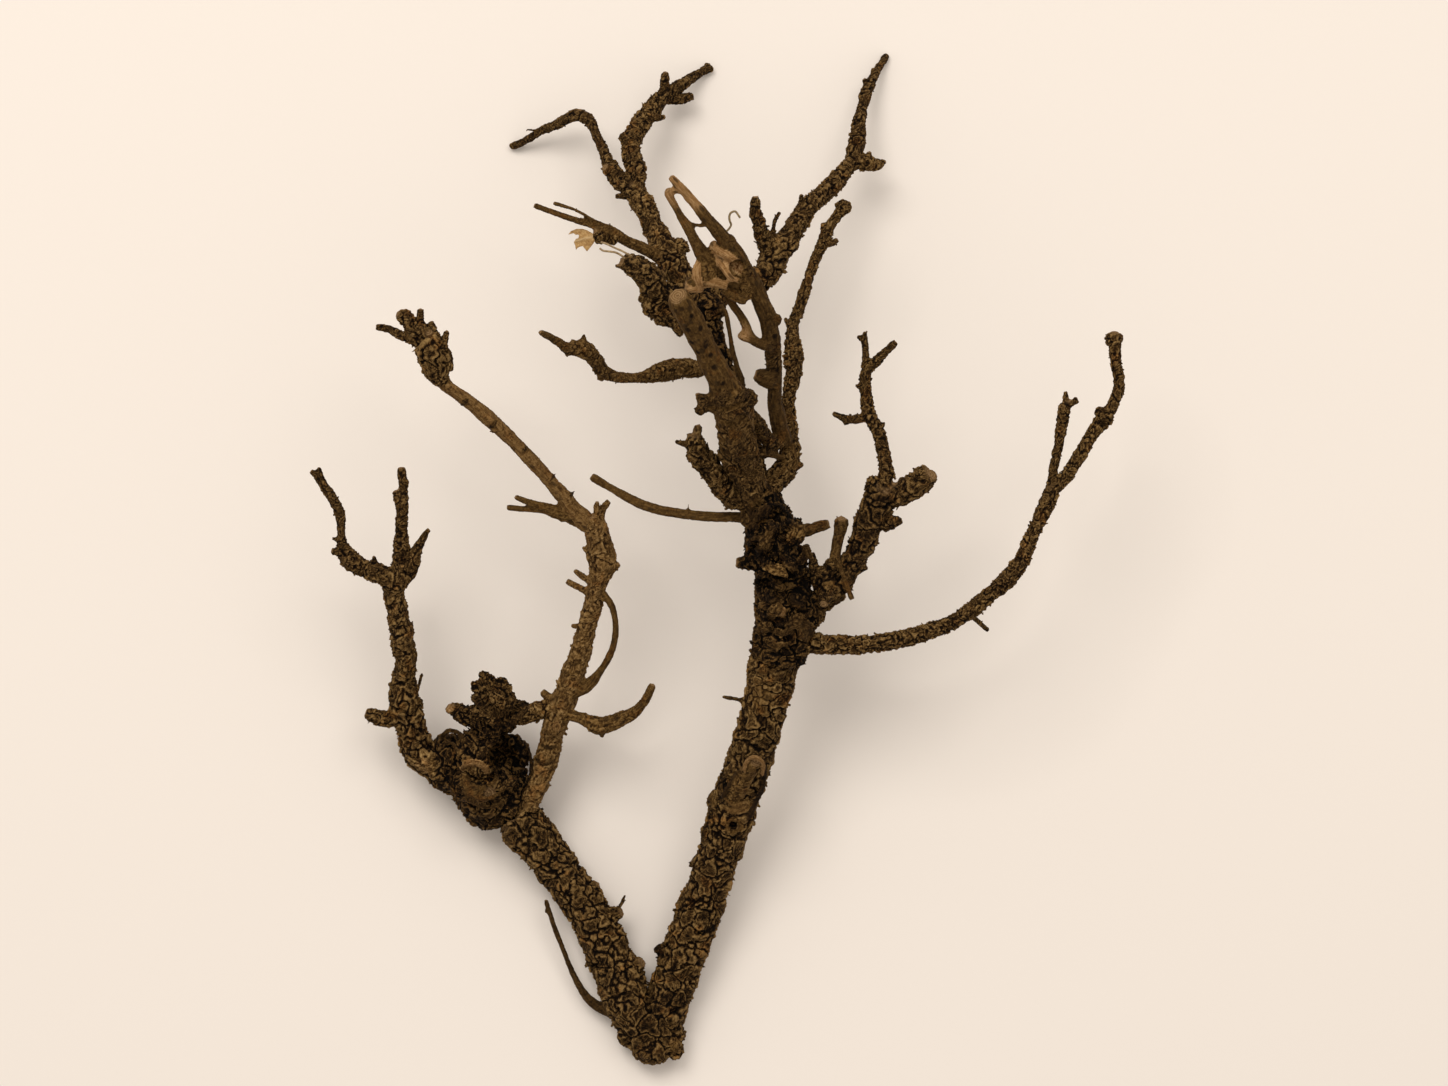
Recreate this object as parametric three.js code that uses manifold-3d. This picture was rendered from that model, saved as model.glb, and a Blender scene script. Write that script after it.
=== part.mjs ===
// Branching driftwood that lies on a table, in millimetres, with +Z up and the table top at z = 0.
// The origin is under the foot of the fork, where the two thick limbs meet.
import * as THREE from 'three';
import Module from 'manifold-3d';
import { mergeVertices } from 'three/addons/utils/BufferGeometryUtils.js';
import { ImprovedNoise } from 'three/addons/math/ImprovedNoise.js';

// Every route is a list of points [x, y, height, radius]. x, y and radius are what an eye straight
// above the table sees, at the scale of the table top, and the wood that stands higher is nearer
// to that eye, so its true place and thickness are drawn in towards the line of sight.
const EYE_HEIGHT = 1500;
const EYE_X = 22.5;
const EYE_Y = 153;

// Neighbouring branches are parted by a hairline at their fork.
const FORK_GAP = 0.3;

// The foot, the left knot and the tips at the top are worn flat where they lie on the table.
const TABLE = 0;

// Lumps of the bark: how far they stand out, as a share of the radius, and how far they are apart.
const LUMP_SHARE = 0.16;
const LUMP_PITCH = 5.5;

// Facets: sides of a limb by its radius, and how far apart its rings are.
const THICK_RADIUS = 4.4;
const THIN_RADIUS = 1.6;
const KNOB_RADIUS = 2.7;
const BURL_RADIUS = 10;
const THICK_SIDES = 8;
const MIDDLE_SIDES = 6;
const THIN_SIDES = 5;
const RING_PITCH = 8.5;

// A broken end is a little narrower than the wood behind it.
const BROKEN_END = 0.78;

// Slivers thinner than this are taken out of the surface where branches are joined or cut.
const SLIVER = 0.18;

// The dried leaf is a thin blade that sinks towards its points.
const LEAF_THICKNESS = 0.5;
const LEAF_HEIGHT = 44;
const LEAF_SLOPE = 0.25;

// The table is cut away as a slab far wider and deeper than the wood.
const SLAB_WIDTH = 900;
const SLAB_DEPTH = 60;

const wasm = await Module();
wasm.setup();
const noise = new ImprovedNoise();

const barkDark = new THREE.MeshStandardMaterial({ color: 0x4a3724, roughness: 0.9, metalness: 0 });
const barkMiddle = new THREE.MeshStandardMaterial({ color: 0x5f4a31, roughness: 0.88, metalness: 0 });
const barkTan = new THREE.MeshStandardMaterial({ color: 0x7d5c34, roughness: 0.85, metalness: 0 });
const dryLeaf = new THREE.MeshStandardMaterial({ color: 0xa8804a, roughness: 0.8, metalness: 0 });

function nearness(height) {
  return 1 - height / EYE_HEIGHT;
}

function place([x, y, height]) {
  const shrink = nearness(height);
  return new THREE.Vector3(EYE_X + (x - EYE_X) * shrink, EYE_Y + (y - EYE_Y) * shrink, height);
}

function thickness([, , height, radius]) {
  return radius * nearness(height);
}

function lump(point) {
  const wave = noise.noise(point.x / LUMP_PITCH, point.y / LUMP_PITCH, point.z / LUMP_PITCH);
  return 1 + LUMP_SHARE * wave;
}

function toSolid(geometry) {
  geometry.deleteAttribute('normal');
  geometry.deleteAttribute('uv');
  const merged = mergeVertices(geometry);
  return new wasm.Manifold(new wasm.Mesh({
    numProp: 3,
    vertProperties: new Float32Array(merged.attributes.position.array),
    triVerts: new Uint32Array(merged.index.array),
  }));
}

// A length of branch: a cylinder bent along its route, with the radius of each point and lumps.
// extra is how much thicker than life it is made.
function tube(route, extra) {
  const radii = route.map(thickness);
  const widest = Math.max(...radii);
  let sides = MIDDLE_SIDES;
  if (widest > THICK_RADIUS) sides = THICK_SIDES;
  if (widest < THIN_RADIUS) sides = THIN_SIDES;
  const curve = new THREE.CatmullRomCurve3(route.map(place), false, 'centripetal');
  const rings = Math.max(1, Math.round(curve.getLength() / RING_PITCH));
  const frames = curve.computeFrenetFrames(rings, false);
  const geometry = new THREE.CylinderGeometry(1, 1, 1, sides, rings);
  const position = geometry.attributes.position;
  const last = radii.length - 1;
  for (let i = 0; i < position.count; i += 1) {
    const ring = Math.round((position.getY(i) + 0.5) * rings);
    const share = ring / rings;
    const along = curve.getUtoTmapping(share) * last;
    const before = Math.min(Math.floor(along), last - 1);
    let radius = THREE.MathUtils.lerp(radii[before], radii[before + 1], along - before);
    if (ring === rings) radius *= BROKEN_END;
    const spread = frames.normals[ring].clone().multiplyScalar(position.getX(i));
    spread.addScaledVector(frames.binormals[ring], -position.getZ(i));
    const centre = curve.getPointAt(share);
    const skin = centre.clone().addScaledVector(spread, radius);
    centre.addScaledVector(spread, radius * lump(skin) + extra);
    if (ring === 0) centre.addScaledVector(frames.tangents[ring], -extra);
    if (ring === rings) centre.addScaledVector(frames.tangents[ring], extra);
    position.setXYZ(i, centre.x, centre.y, centre.z);
  }
  return toSolid(geometry);
}

// A knot: a lumpy ball, squashed in height if flatten is below 1.
function knot([x, y, height, radius, flatten = 1], extra) {
  const centre = place([x, y, height]);
  const size = radius * nearness(height);
  let detail = 0;
  if (size > KNOB_RADIUS) detail = 1;
  if (size > BURL_RADIUS) detail = 2;
  const geometry = new THREE.IcosahedronGeometry(1, detail);
  const position = geometry.attributes.position;
  const skin = new THREE.Vector3();
  for (let i = 0; i < position.count; i += 1) {
    skin.fromBufferAttribute(position, i);
    const out = skin.clone();
    skin.multiplyScalar(size).add(centre);
    out.multiplyScalar(size * lump(skin) + extra);
    out.z *= flatten;
    out.add(centre);
    position.setXYZ(i, out.x, out.y, out.z);
  }
  return toSolid(geometry);
}

// A thin blade: an outline [x, y] extruded to the thickness of the leaf and tilted.
function blade(outline, extra) {
  const shape = new THREE.Shape(outline.map(([x, y]) => new THREE.Vector2(x, y)));
  const geometry = new THREE.ExtrudeGeometry(shape, { depth: 1, bevelEnabled: false });
  const position = geometry.attributes.position;
  const [[baseX]] = outline;
  for (let i = 0; i < position.count; i += 1) {
    const side = position.getZ(i) - 0.5;
    const middle = LEAF_HEIGHT + (position.getX(i) - baseX) * LEAF_SLOPE;
    const height = middle + side * (LEAF_THICKNESS + 2 * extra);
    const { x, y, z } = place([position.getX(i), position.getY(i), height]);
    position.setXYZ(i, x, y, z);
  }
  return toSolid(geometry);
}

function slab() {
  const geometry = new THREE.BoxGeometry(SLAB_WIDTH, SLAB_WIDTH, SLAB_DEPTH);
  geometry.translate(0, 0, TABLE - SLAB_DEPTH / 2);
  return toSolid(geometry);
}

const driftwood = new THREE.Group();
const table = slab();
const grownBefore = [];

function boxesMeet(one, other) {
  return [0, 1, 2].every((axis) => one.min[axis] < other.max[axis] && other.min[axis] < one.max[axis]);
}

// Fuses a branch's own tube, leaf, stubs and knots.
function fuse({ route, leaf, stubs = [], knots = [], pits = [] }, extra) {
  const parts = knots.map((ball) => knot(ball, extra));
  if (route) parts.push(tube(route, extra));
  if (leaf) parts.push(blade(leaf, extra));
  stubs.forEach((stub) => parts.push(tube(stub, extra)));
  let wood = parts[0];
  for (const part of parts.slice(1)) wood = wood.add(part);
  for (const pit of pits) wood = wood.subtract(knot(pit, -extra));
  return wood;
}

// Adds one branch as a node. It is cut off a hairline short of the branches that stand already.
function branch(name, material, shape) {
  let wood = fuse(shape, 0).subtract(table);
  for (const earlier of grownBefore) {
    if (boxesMeet(wood.boundingBox(), earlier.boundingBox())) wood = wood.subtract(earlier);
  }
  grownBefore.push(fuse(shape, FORK_GAP));
  const { vertProperties, triVerts } = wood.asOriginal().simplify(SLIVER).getMesh();
  const geometry = new THREE.BufferGeometry();
  geometry.setAttribute('position', new THREE.BufferAttribute(vertProperties, 3));
  geometry.setIndex(new THREE.BufferAttribute(triVerts, 1));
  const mesh = new THREE.Mesh(geometry, material);
  mesh.name = name;
  driftwood.add(mesh);
}

// The right limb starts as the foot of the fork and rises to the heart. A broken branch lies
// along its front, and a flap of bark lifts at its left edge.
branch('right_limb', barkMiddle, {
  route: [
    [2.8, -3.2, 5, 4.6], [2.8, 2.5, 5.4, 6.2], [3.8, 8, 6, 6.8], [6, 14.5, 6.5, 6.9],
    [8.2, 21.5, 7.5, 6.8], [11.6, 32, 9.5, 6.8], [15.6, 42.5, 12.3, 6.7], [18.4, 50.5, 14.5, 6.5],
    [21.2, 59, 17.5, 6.6], [24.4, 68.5, 20.8, 6.9], [27, 77, 24, 7.1], [30.6, 87.5, 28, 6.9],
    [33.4, 97.5, 32, 6.6], [35.4, 107, 36, 6.6], [37, 115, 39.5, 7.2], [38.6, 122, 42, 7.1],
  ],
  stubs: [
    [[31, 104, 33, 1], [28, 105, 34, 0.9], [21.7, 106.2, 36, 0.8]],
    [[23.5, 72, 24, 2.4], [28, 80, 31, 2.8], [32.2, 86.4, 36.5, 2.5]],
  ],
  knots: [
    [0.8, 0.6, 5, 6.6], [8, 3, 7, 3.2], [7.5, -1.5, 6, 3], [20, 74.5, 22, 2.6], [2.9, 29, 10, 1.9],
    [24, 75.5, 29, 2.7],
  ],
});

// The left limb leaves the foot at a sharp angle and runs low over the table to the left knot.
branch('left_limb', barkMiddle, {
  route: [
    [-0.5, 0.5, 5.6, 4.8], [-3.4, 5.5, 6.2, 6.1], [-6.8, 13.5, 6.7, 6.9], [-10.5, 23.5, 7, 6.8],
    [-14.5, 32, 7.2, 6.4], [-19.5, 42, 7.5, 6.4], [-26, 51, 8, 6.3], [-31.7, 58.2, 9, 6.3],
    [-37.2, 65, 10.5, 6.9], [-42.2, 70.6, 12, 7.2],
  ],
  stubs: [
    [[-20, 47, 8, 1.8], [-15.6, 49.2, 9.5, 1.6]],
    [[-15, 38.5, 8, 2.6], [-8.4, 40.6, 10, 2.2]],
    [[-9.8, 40.5, 10, 0.8], [-7.6, 45.8, 12, 0.7]],
    [[-8, 22, 8, 2.6], [-2, 25.6, 11, 2.3]],
  ],
  knots: [[-7, 2, 5.5, 2.7]],
});

// A thin twig that leaves the foot of the left limb and curves up beside it.
branch('hanging_twig', barkMiddle, {
  route: [
    [-9, 9, 6, 2], [-14.3, 10.7, 5, 1.7], [-19, 14, 4.5, 1.5], [-22, 18.6, 4.6, 1.2],
    [-25.3, 25.9, 5.2, 1], [-28, 32.6, 6, 1], [-30.2, 38.7, 7.5, 1], [-32, 44.5, 9, 1],
  ],
  stubs: [[[-31, 41, 8, 0.8], [-32.5, 40.5, 8.5, 0.7]]],
});

// The left knot is a fist of burls round a deep hollow. Its underside lies on the table.
branch('left_knot', barkDark, {
  knots: [
    [-48, 77.8, 10.6, 11.8], [-60, 85.8, 12, 9], [-43, 88.5, 15, 6], [-52, 89, 20, 7.9],
  ],
  stubs: [
    [[-52, 99, 24, 3], [-57.5, 101.3, 26, 2.8], [-61, 102.8, 27.5, 2.1]],
    [[-48.5, 95, 21, 6], [-48, 104.5, 25, 5.6], [-48.8, 112, 28, 3]],
    [[-45, 99.5, 22, 4.3], [-39.5, 101.8, 24, 3.2], [-35.8, 102.3, 25, 2]],
    [[-60, 84, 14, 4.4], [-56, 78, 21, 3.6], [-49, 76, 24, 2.6]],
  ],
  pits: [[-44.3, 87, 25, 4.4, 1.6]],
});

// The outer limb climbs from the knot along the far left and ends in three twigs.
branch('outer_limb', barkMiddle, {
  route: [
    [-62, 84, 14, 4.4], [-70, 88.5, 15, 4.8], [-72.5, 96, 17, 4.2], [-75, 105, 20, 4.5],
    [-75, 111.5, 22, 3.4], [-74.7, 117.5, 25, 3.1], [-75.6, 123.5, 27.5, 3.6],
    [-76.7, 129.6, 30, 3.2], [-78, 135.7, 33, 3.3], [-78.6, 141.5, 35.5, 3.4],
  ],
  stubs: [
    [[-76.5, 99.5, 18, 2.6], [-82.5, 99.7, 18.5, 2.4], [-87.3, 101.4, 19, 1.8]],
    [[-72, 105, 22, 0.9], [-69.5, 113.5, 25, 0.7]],
    [[-76, 109, 21, 1.2], [-80.3, 110, 22, 0.8]],
  ],
  knots: [[-78, 141.8, 35.5, 4.2], [-70.6, 104.3, 21, 1.6]],
});

branch('west_twig', barkMiddle, {
  route: [
    [-79, 142.5, 36, 2.4], [-83, 144, 37, 2.9], [-87, 145, 38.5, 2.7], [-91.5, 148, 40, 2.9],
    [-93.6, 151.6, 41, 1.9], [-94.2, 157, 42.5, 1.4], [-94.7, 161.7, 44, 1.8], [-96.5, 166.2, 45.5, 1.6],
    [-99.4, 170.2, 47, 1.6], [-101.5, 173.2, 48, 1.2], [-103.8, 175.2, 49, 1],
  ],
  stubs: [
    [[-98.5, 169, 46.5, 1], [-101.2, 176.4, 49.5, 0.8]],
    [[-93.8, 153.2, 41.5, 1], [-97.3, 154.6, 42, 0.8]],
    [[-93, 149.5, 41, 1.4], [-97.6, 150.7, 42, 1.2]],
    [[-83, 144.5, 38, 1.2], [-84.5, 149.2, 40, 0.9]],
  ],
});

branch('middle_twig', barkMiddle, {
  route: [
    [-76.7, 142.5, 36, 2.4], [-76, 147.9, 37.5, 2.7], [-76, 154, 39.5, 2.2], [-75.8, 160, 42, 1.9],
    [-75.3, 166.2, 44, 1.7], [-75.5, 172.3, 45.5, 1.6], [-76.2, 176.3, 47, 1.4],
  ],
  stubs: [
    [[-76, 164, 43.5, 1.7], [-77.9, 169.3, 45, 1.5]],
    [[-75.2, 170, 45.5, 0.8], [-73.4, 172, 46.5, 0.6]],
  ],
});

branch('east_twig', barkMiddle, {
  route: [
    [-76.3, 140.5, 35, 1.9], [-73, 144, 36, 2.1], [-71.8, 148.5, 37.3, 2], [-70.8, 151.8, 38.3, 1.6],
    [-67.4, 157.5, 40, 1],
  ],
});

// The inner limb climbs out of the knot on its other side, with a burl near its top.
branch('inner_limb', barkMiddle, {
  route: [
    [-37.5, 72, 14, 3], [-34, 80.5, 16.5, 3.6], [-31.3, 88, 19, 3.6], [-30, 94, 21, 3.4],
    [-28.6, 99, 23, 3.6], [-26.2, 105.5, 26, 3.7], [-23.9, 111.5, 29, 3.6], [-22, 117.5, 31.5, 3.4],
    [-20.2, 124, 34, 3.1], [-18, 132, 37, 2.9], [-16.7, 137, 39, 2.9], [-15.6, 142, 41, 3.2],
    [-15, 147.5, 43, 4.3], [-15.5, 152.5, 44.5, 4], [-16.5, 157.5, 46, 3.7], [-18.3, 161.7, 47, 3.2],
  ],
  stubs: [
    [[-16, 160, 46, 1.6], [-14, 164, 47.5, 1.3], [-12.3, 166, 48, 1.2]],
    [[-16.7, 160, 47, 1.3], [-16.2, 165.8, 50, 1]],
    [[-17, 148, 43.5, 1.2], [-20.8, 152, 44.5, 0.8]],
    [[-13.5, 143.5, 42.5, 1.6], [-9.2, 146.9, 44, 1.2]],
    [[-17, 140.3, 40.5, 1.3], [-23.4, 144.8, 42, 1]],
    [[-17, 137, 39, 1.4], [-25.8, 141.6, 39.5, 1.1]],
    [[-19.5, 127.5, 36, 1.1], [-24.4, 127.8, 37, 0.9]],
    [[-29, 104.5, 25, 1.4], [-33.3, 108, 26, 1.4]],
  ],
  knots: [[-29, 96.5, 25, 2.7]],
});

// A banded arm joins the inner limb to the upper knob of the knot.
branch('bridge_arm', barkMiddle, {
  route: [[-28.5, 101.5, 24.5, 2.2], [-33.5, 102, 24.5, 2.7], [-38.5, 100.4, 23.5, 2.7], [-44, 99, 22, 2]],
});

// A twig bows out from the inner limb and meets it again higher up.
branch('loop_twig', barkMiddle, {
  route: [
    [-24.5, 106.5, 28, 1.8], [-19, 109.5, 30, 2], [-15.3, 113.8, 32.5, 1.4], [-12.2, 119, 35, 1.2],
    [-10.7, 124.5, 37, 1.2], [-10.7, 129.6, 38.5, 1.2], [-11.8, 133.9, 39.5, 1.2],
    [-15, 138.5, 40.5, 1.2],
  ],
});

branch('spur_twig', barkMiddle, {
  route: [
    [-28, 101, 25, 1.9], [-21.4, 99.7, 27, 1.8], [-18.3, 98.5, 28, 2.3], [-15, 97.2, 29, 2.7],
    [-10.7, 98.5, 30.5, 2.6], [-4.6, 101.6, 33, 1.8], [-1.5, 105.2, 35, 1.5], [0.9, 110.1, 37, 1.4],
  ],
  stubs: [[[-15, 97, 28.5, 1.4], [-14.6, 93.4, 28, 0.8]]],
});

branch('long_branch', barkMiddle, {
  route: [
    [-17.6, 157.5, 46, 2.6], [-20.7, 160.7, 47, 3.1], [-24.4, 164.6, 48.5, 2.7], [-28.6, 169.6, 50, 2.3],
    [-34.4, 176.2, 52, 2.2], [-40.4, 182.6, 53.5, 2.2], [-45.8, 187.8, 55, 2.3], [-49.6, 191.2, 56, 2.4],
    [-55.2, 195.9, 57, 2.2], [-59.6, 199.2, 58, 2.1], [-63.7, 202.2, 58.5, 2.3],
  ],
});

branch('double_stub', barkTan, {
  route: [[-18.8, 159.5, 46, 2.4], [-24, 161.4, 46.5, 2.8], [-28, 162.3, 47.5, 2.4], [-31.5, 162.9, 48, 1.8]],
  stubs: [
    [[-27, 162.7, 47.5, 1.6], [-36, 163.2, 49, 1.2], [-44, 163.9, 50, 1.1]],
    [[-28, 163, 48, 1.6], [-35.5, 164.8, 50.5, 1.4], [-41.5, 167.2, 53, 1.1]],
    [[-27.3, 162, 47, 1], [-27, 159, 47, 0.6]],
  ],
});

// The claw at the end of the long branch spreads into blunt fingers.
branch('claw', barkTan, {
  route: [
    [-62.5, 201.4, 58.5, 1.8], [-64.8, 204.6, 59.5, 3.5], [-66, 209.5, 61, 4.5],
    [-67, 213.5, 62, 4.2], [-68.5, 217, 62.5, 2.6],
  ],
  stubs: [
    [[-69, 214, 62, 1.9], [-76.3, 216.5, 63, 1.5], [-80, 218.4, 63.5, 1.3], [-84, 219, 64, 1.2]],
    [[-68.5, 215, 62.5, 2.4], [-72.5, 218.8, 64, 2.3], [-74.6, 221.8, 65, 2.2], [-77.4, 223.2, 66, 1.6]],
    [[-68.6, 216, 62, 1.7], [-70.1, 221.5, 63, 1.4], [-69.9, 224.7, 64, 1.3]],
    [[-66, 213, 61, 1.6], [-66.3, 218, 61.5, 1.4], [-67, 221, 62, 1.1]],
    [[-65, 212, 60, 1.5], [-62.7, 215, 60.5, 1.3], [-62, 218, 61.5, 1]],
    [[-64.5, 213, 60, 1.5], [-61.6, 210.5, 59.5, 1.3], [-61, 205, 59, 1.2]],
  ],
});

// The heart is the dark knotted mass where the right limb divides.
branch('heart', barkDark, {
  route: [
    [39.4, 118.5, 41, 8.1], [40.6, 125, 43, 8.5], [41.6, 132, 45, 9], [41, 139, 46.5, 8.7],
    [39.3, 146.4, 48, 7.6], [37, 154, 50, 8], [35.4, 161, 52, 7], [32.8, 167, 54, 5.8],
    [31, 171.5, 56, 5.2],
  ],
  stubs: [[[36, 146, 49, 2.4], [31, 146.8, 50, 2.2], [25.7, 147, 51, 1.9]]],
  knots: [[42.5, 156.5, 53, 4.2], [46, 132, 46, 6.6], [34.5, 155, 54, 4.6], [43.5, 146, 50, 4.4]],
  pits: [[40.5, 149.5, 58, 3.2, 1.4]],
});

branch('cluster_stub', barkTan, {
  route: [[42, 157.2, 51.5, 2], [47.6, 156.8, 52.5, 2.2], [51.5, 158, 53, 1.9], [55, 158.9, 53.5, 1.9]],
});

// The right upper limb leaves the heart beside a lump of burls and thickens where it forks.
branch('right_upper_limb', barkMiddle, {
  route: [
    [48, 133, 46, 3.4], [53.4, 136.2, 47, 4], [57.6, 140.8, 49, 4], [61.4, 146.8, 50.5, 3.9],
    [65, 154, 52, 4.1], [67, 160.1, 53.5, 4.3], [70.2, 166.2, 55, 4.8], [72.3, 169.8, 56, 4.2],
  ],
  stubs: [
    [[71, 158.5, 53, 2.4], [75, 159.6, 53.8, 1.8], [77.2, 160.2, 54, 1.3]],
    [[61, 144, 50, 1.8], [66.6, 145.6, 50.5, 0.9]],
    [[54, 139, 51, 2.6], [52.8, 133.9, 56, 2]],
    [[51.5, 139, 49, 1.9], [50.2, 144, 50.5, 1.7], [49.1, 150.5, 51.5, 1.2]],
  ],
  knots: [
    [53.8, 141.5, 50, 4.3], [56.2, 145.5, 52, 3], [50.5, 131.5, 47, 3.4], [68.2, 170.4, 56, 2.8],
    [64.6, 161.3, 54, 2],
  ],
});

branch('capped_twig', barkTan, {
  route: [[56.2, 146.5, 52.5, 1.8], [57, 152.5, 54.5, 1.8], [57.8, 156.5, 55.5, 1.9], [58.2, 158, 56.3, 1.9]],
  stubs: [
    [[58, 156.5, 55.6, 2], [58.5, 161, 57.2, 2.4]],
    [[57, 149, 54.5, 1], [58.9, 143, 55.5, 1], [61.7, 135.4, 56, 1.2]],
  ],
});

// The stub that was sawn off: its cut is slanted and faces up and to the right.
branch('sawn_stub', barkMiddle, {
  route: [[71.5, 167.5, 55.5, 3.3], [75.5, 167.8, 56, 3.9], [80, 170, 58, 3.8], [86, 174.6, 61.4, 3.4]],
});

// The antler twig stands on the fork and divides into two tines, with a side twig at half height.
branch('antler_twig', barkMiddle, {
  route: [
    [71.5, 168.5, 56.5, 1.9], [72, 173, 57.5, 2.3], [71.8, 177.5, 58.5, 2.1], [70.6, 183.3, 59.5, 2.1],
    [68.8, 188.5, 60.5, 2.2], [66.8, 192.5, 61, 2.2], [65.8, 198, 61.5, 1.9], [65.6, 202.5, 62, 1.9],
    [66, 206.5, 62.5, 1.9],
  ],
  stubs: [
    [[65.8, 205.5, 62.5, 1.5], [65.6, 212, 63.5, 1.1], [65.5, 217.8, 64.5, 1]],
    [[65.5, 214, 64, 0.8], [63, 216.4, 64.5, 0.8]],
    [[66, 205.5, 62.5, 1.7], [69, 208.5, 63, 1.6], [72, 211.5, 63.5, 1.3], [75.2, 214.6, 64, 1.3]],
    [[66.5, 191.8, 61, 1.7], [61.6, 190.6, 61, 1.5], [58, 191.5, 61.5, 1.2], [55.4, 192.8, 62, 0.9]],
    [[61.3, 190.6, 61, 1.1], [58.7, 189.1, 61, 0.7]],
    [[65, 200, 62, 1.1], [62.3, 201.2, 62.5, 0.7]],
    [[69.5, 187.5, 60.5, 1.2], [71.8, 190, 61, 0.7]],
  ],
});

// The long bow to the right, with a short twig under it, and the two tines of its fork.
branch('right_arc', barkMiddle, {
  route: [
    [44, 122.8, 43, 2.6], [48.8, 122.4, 43.5, 3.1], [54.9, 122, 44, 2.9], [64, 121.9, 45, 2.7],
    [74.7, 123.3, 46.5, 2.5], [83, 125.5, 47.5, 2.6], [91.5, 128.6, 48.5, 2.4], [97.6, 132.3, 49, 2.4],
    [104, 137.5, 49.5, 2.4], [109.8, 142.7, 50, 2.8], [113.2, 147.6, 50.5, 2.5], [115.9, 154, 51, 2.3],
    [118.6, 160.1, 51.5, 2.3], [121.5, 166, 52, 2.5], [122.8, 170, 52.5, 2.4],
  ],
  stubs: [[[97, 131.5, 48, 1.2], [99.7, 129.3, 46.5, 1], [103.4, 126, 45, 0.9]]],
});

branch('arc_left_tine', barkMiddle, {
  route: [
    [122.2, 168, 52, 1.4], [122.9, 175.7, 53, 1.5], [124.6, 182.7, 54, 1.6], [125.8, 190.9, 55, 2],
    [127, 196, 55.5, 1.9],
  ],
  stubs: [
    [[127, 195, 55.5, 1.3], [126.6, 199.6, 56, 0.9]],
    [[127, 195, 55.5, 1.3], [130.8, 196.8, 56, 1.2]],
  ],
});

branch('arc_right_tine', barkMiddle, {
  route: [
    [123.3, 169.3, 52.5, 1.8], [127.2, 173.5, 52.5, 2.2], [131.5, 180.6, 52, 2], [135.4, 187, 51.5, 2],
    [138.5, 191, 51, 2.3], [141.2, 195.2, 50.5, 1.9], [143, 201.6, 50, 1.8], [142.1, 208.6, 50, 1.8],
    [141.8, 213.5, 50, 1.9], [141.5, 217.3, 50, 2.3],
  ],
  knots: [[141.4, 215.6, 50, 2.6], [137.3, 193, 52, 1.9]],
});

branch('left_stub', barkMiddle, {
  route: [
    [29, 165.5, 54, 3], [24.4, 167.5, 56, 3.5], [20.1, 173.5, 60, 3.4], [15.8, 178.6, 64, 3.4],
    [13.8, 184, 67, 2.9], [13.8, 186.5, 68, 2.4],
  ],
  stubs: [
    [[14, 185, 67.5, 1.8], [14.8, 189.3, 69, 1.4]],
    [[13, 182.5, 67, 1.3], [7.2, 184, 69, 0.8]],
  ],
  knots: [[13.4, 179.5, 64.5, 2.4]],
});

branch('arc_twig', barkMiddle, {
  route: [
    [31, 160, 50, 1.6], [26.5, 160.8, 50, 1.8], [20, 160.9, 50.5, 1.7], [11.6, 161.6, 51, 1.7],
    [3, 163.1, 51.5, 1.7], [-4.6, 165.7, 52, 1.6], [-11.6, 169.5, 52.5, 1.5], [-18.3, 173.6, 53, 1.6],
  ],
  stubs: [[[11.6, 161.5, 51.5, 0.6], [11.7, 165.2, 52, 0.45]]],
});

// The thick stub rises steeply towards the viewer and is swollen half-way.
branch('thick_stub', barkTan, {
  route: [
    [30.5, 171, 56, 4.6], [27.6, 179.5, 63, 5.7], [26, 187.5, 71, 5.5], [24.7, 195.5, 79, 6],
    [21.3, 203.5, 86, 4.2], [17.7, 210.5, 92.5, 3.9], [14.3, 217, 99, 3.8], [9.6, 226, 108, 3.8],
    [8.2, 228.8, 111, 3.6],
  ],
  stubs: [[[21, 194.6, 80, 2.7], [17, 196, 81.5, 2.5], [14.4, 197.4, 82, 1.8]]],
  knots: [[29.5, 197, 79, 3.2]],
});

// The rear stem turns out of the heart to the right and runs up to a knobby head.
branch('rear_stem', barkMiddle, {
  route: [
    [33.5, 167.5, 53, 3.5], [38.1, 171.7, 52, 3.6], [41.8, 176, 50.5, 3.5], [42.7, 181.5, 49.5, 3],
    [42.4, 186.7, 49, 2.7], [41.8, 192.5, 48, 2.4], [42.4, 198.2, 47, 2.2], [43.6, 204, 46, 2.5],
    [43.9, 209.2, 45, 3], [43.3, 213.8, 44.5, 2.4], [43.4, 219, 43.5, 2], [45.4, 224.2, 42.5, 1.9],
    [47.6, 231.5, 41, 1.8], [49.8, 238.5, 40, 1.7], [52.4, 244.3, 39, 1.8], [54, 248.6, 38.5, 2],
    [56.5, 252, 38, 1.6], [58.8, 255, 37.5, 2],
  ],
  stubs: [
    [[52.5, 244.5, 39, 1.3], [55.2, 244.3, 39.5, 1.2], [57.4, 245.8, 40, 1]],
    [[53.3, 248, 38.5, 1.2], [52.2, 250.9, 39, 0.8]],
    [[43, 217.5, 44, 1.2], [40.9, 221.9, 45, 0.8]],
    [[43.5, 176, 50.5, 1.4], [47, 177.3, 51, 0.8]],
  ],
  knots: [[58.8, 255.4, 37.5, 2.3]],
});

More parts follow.
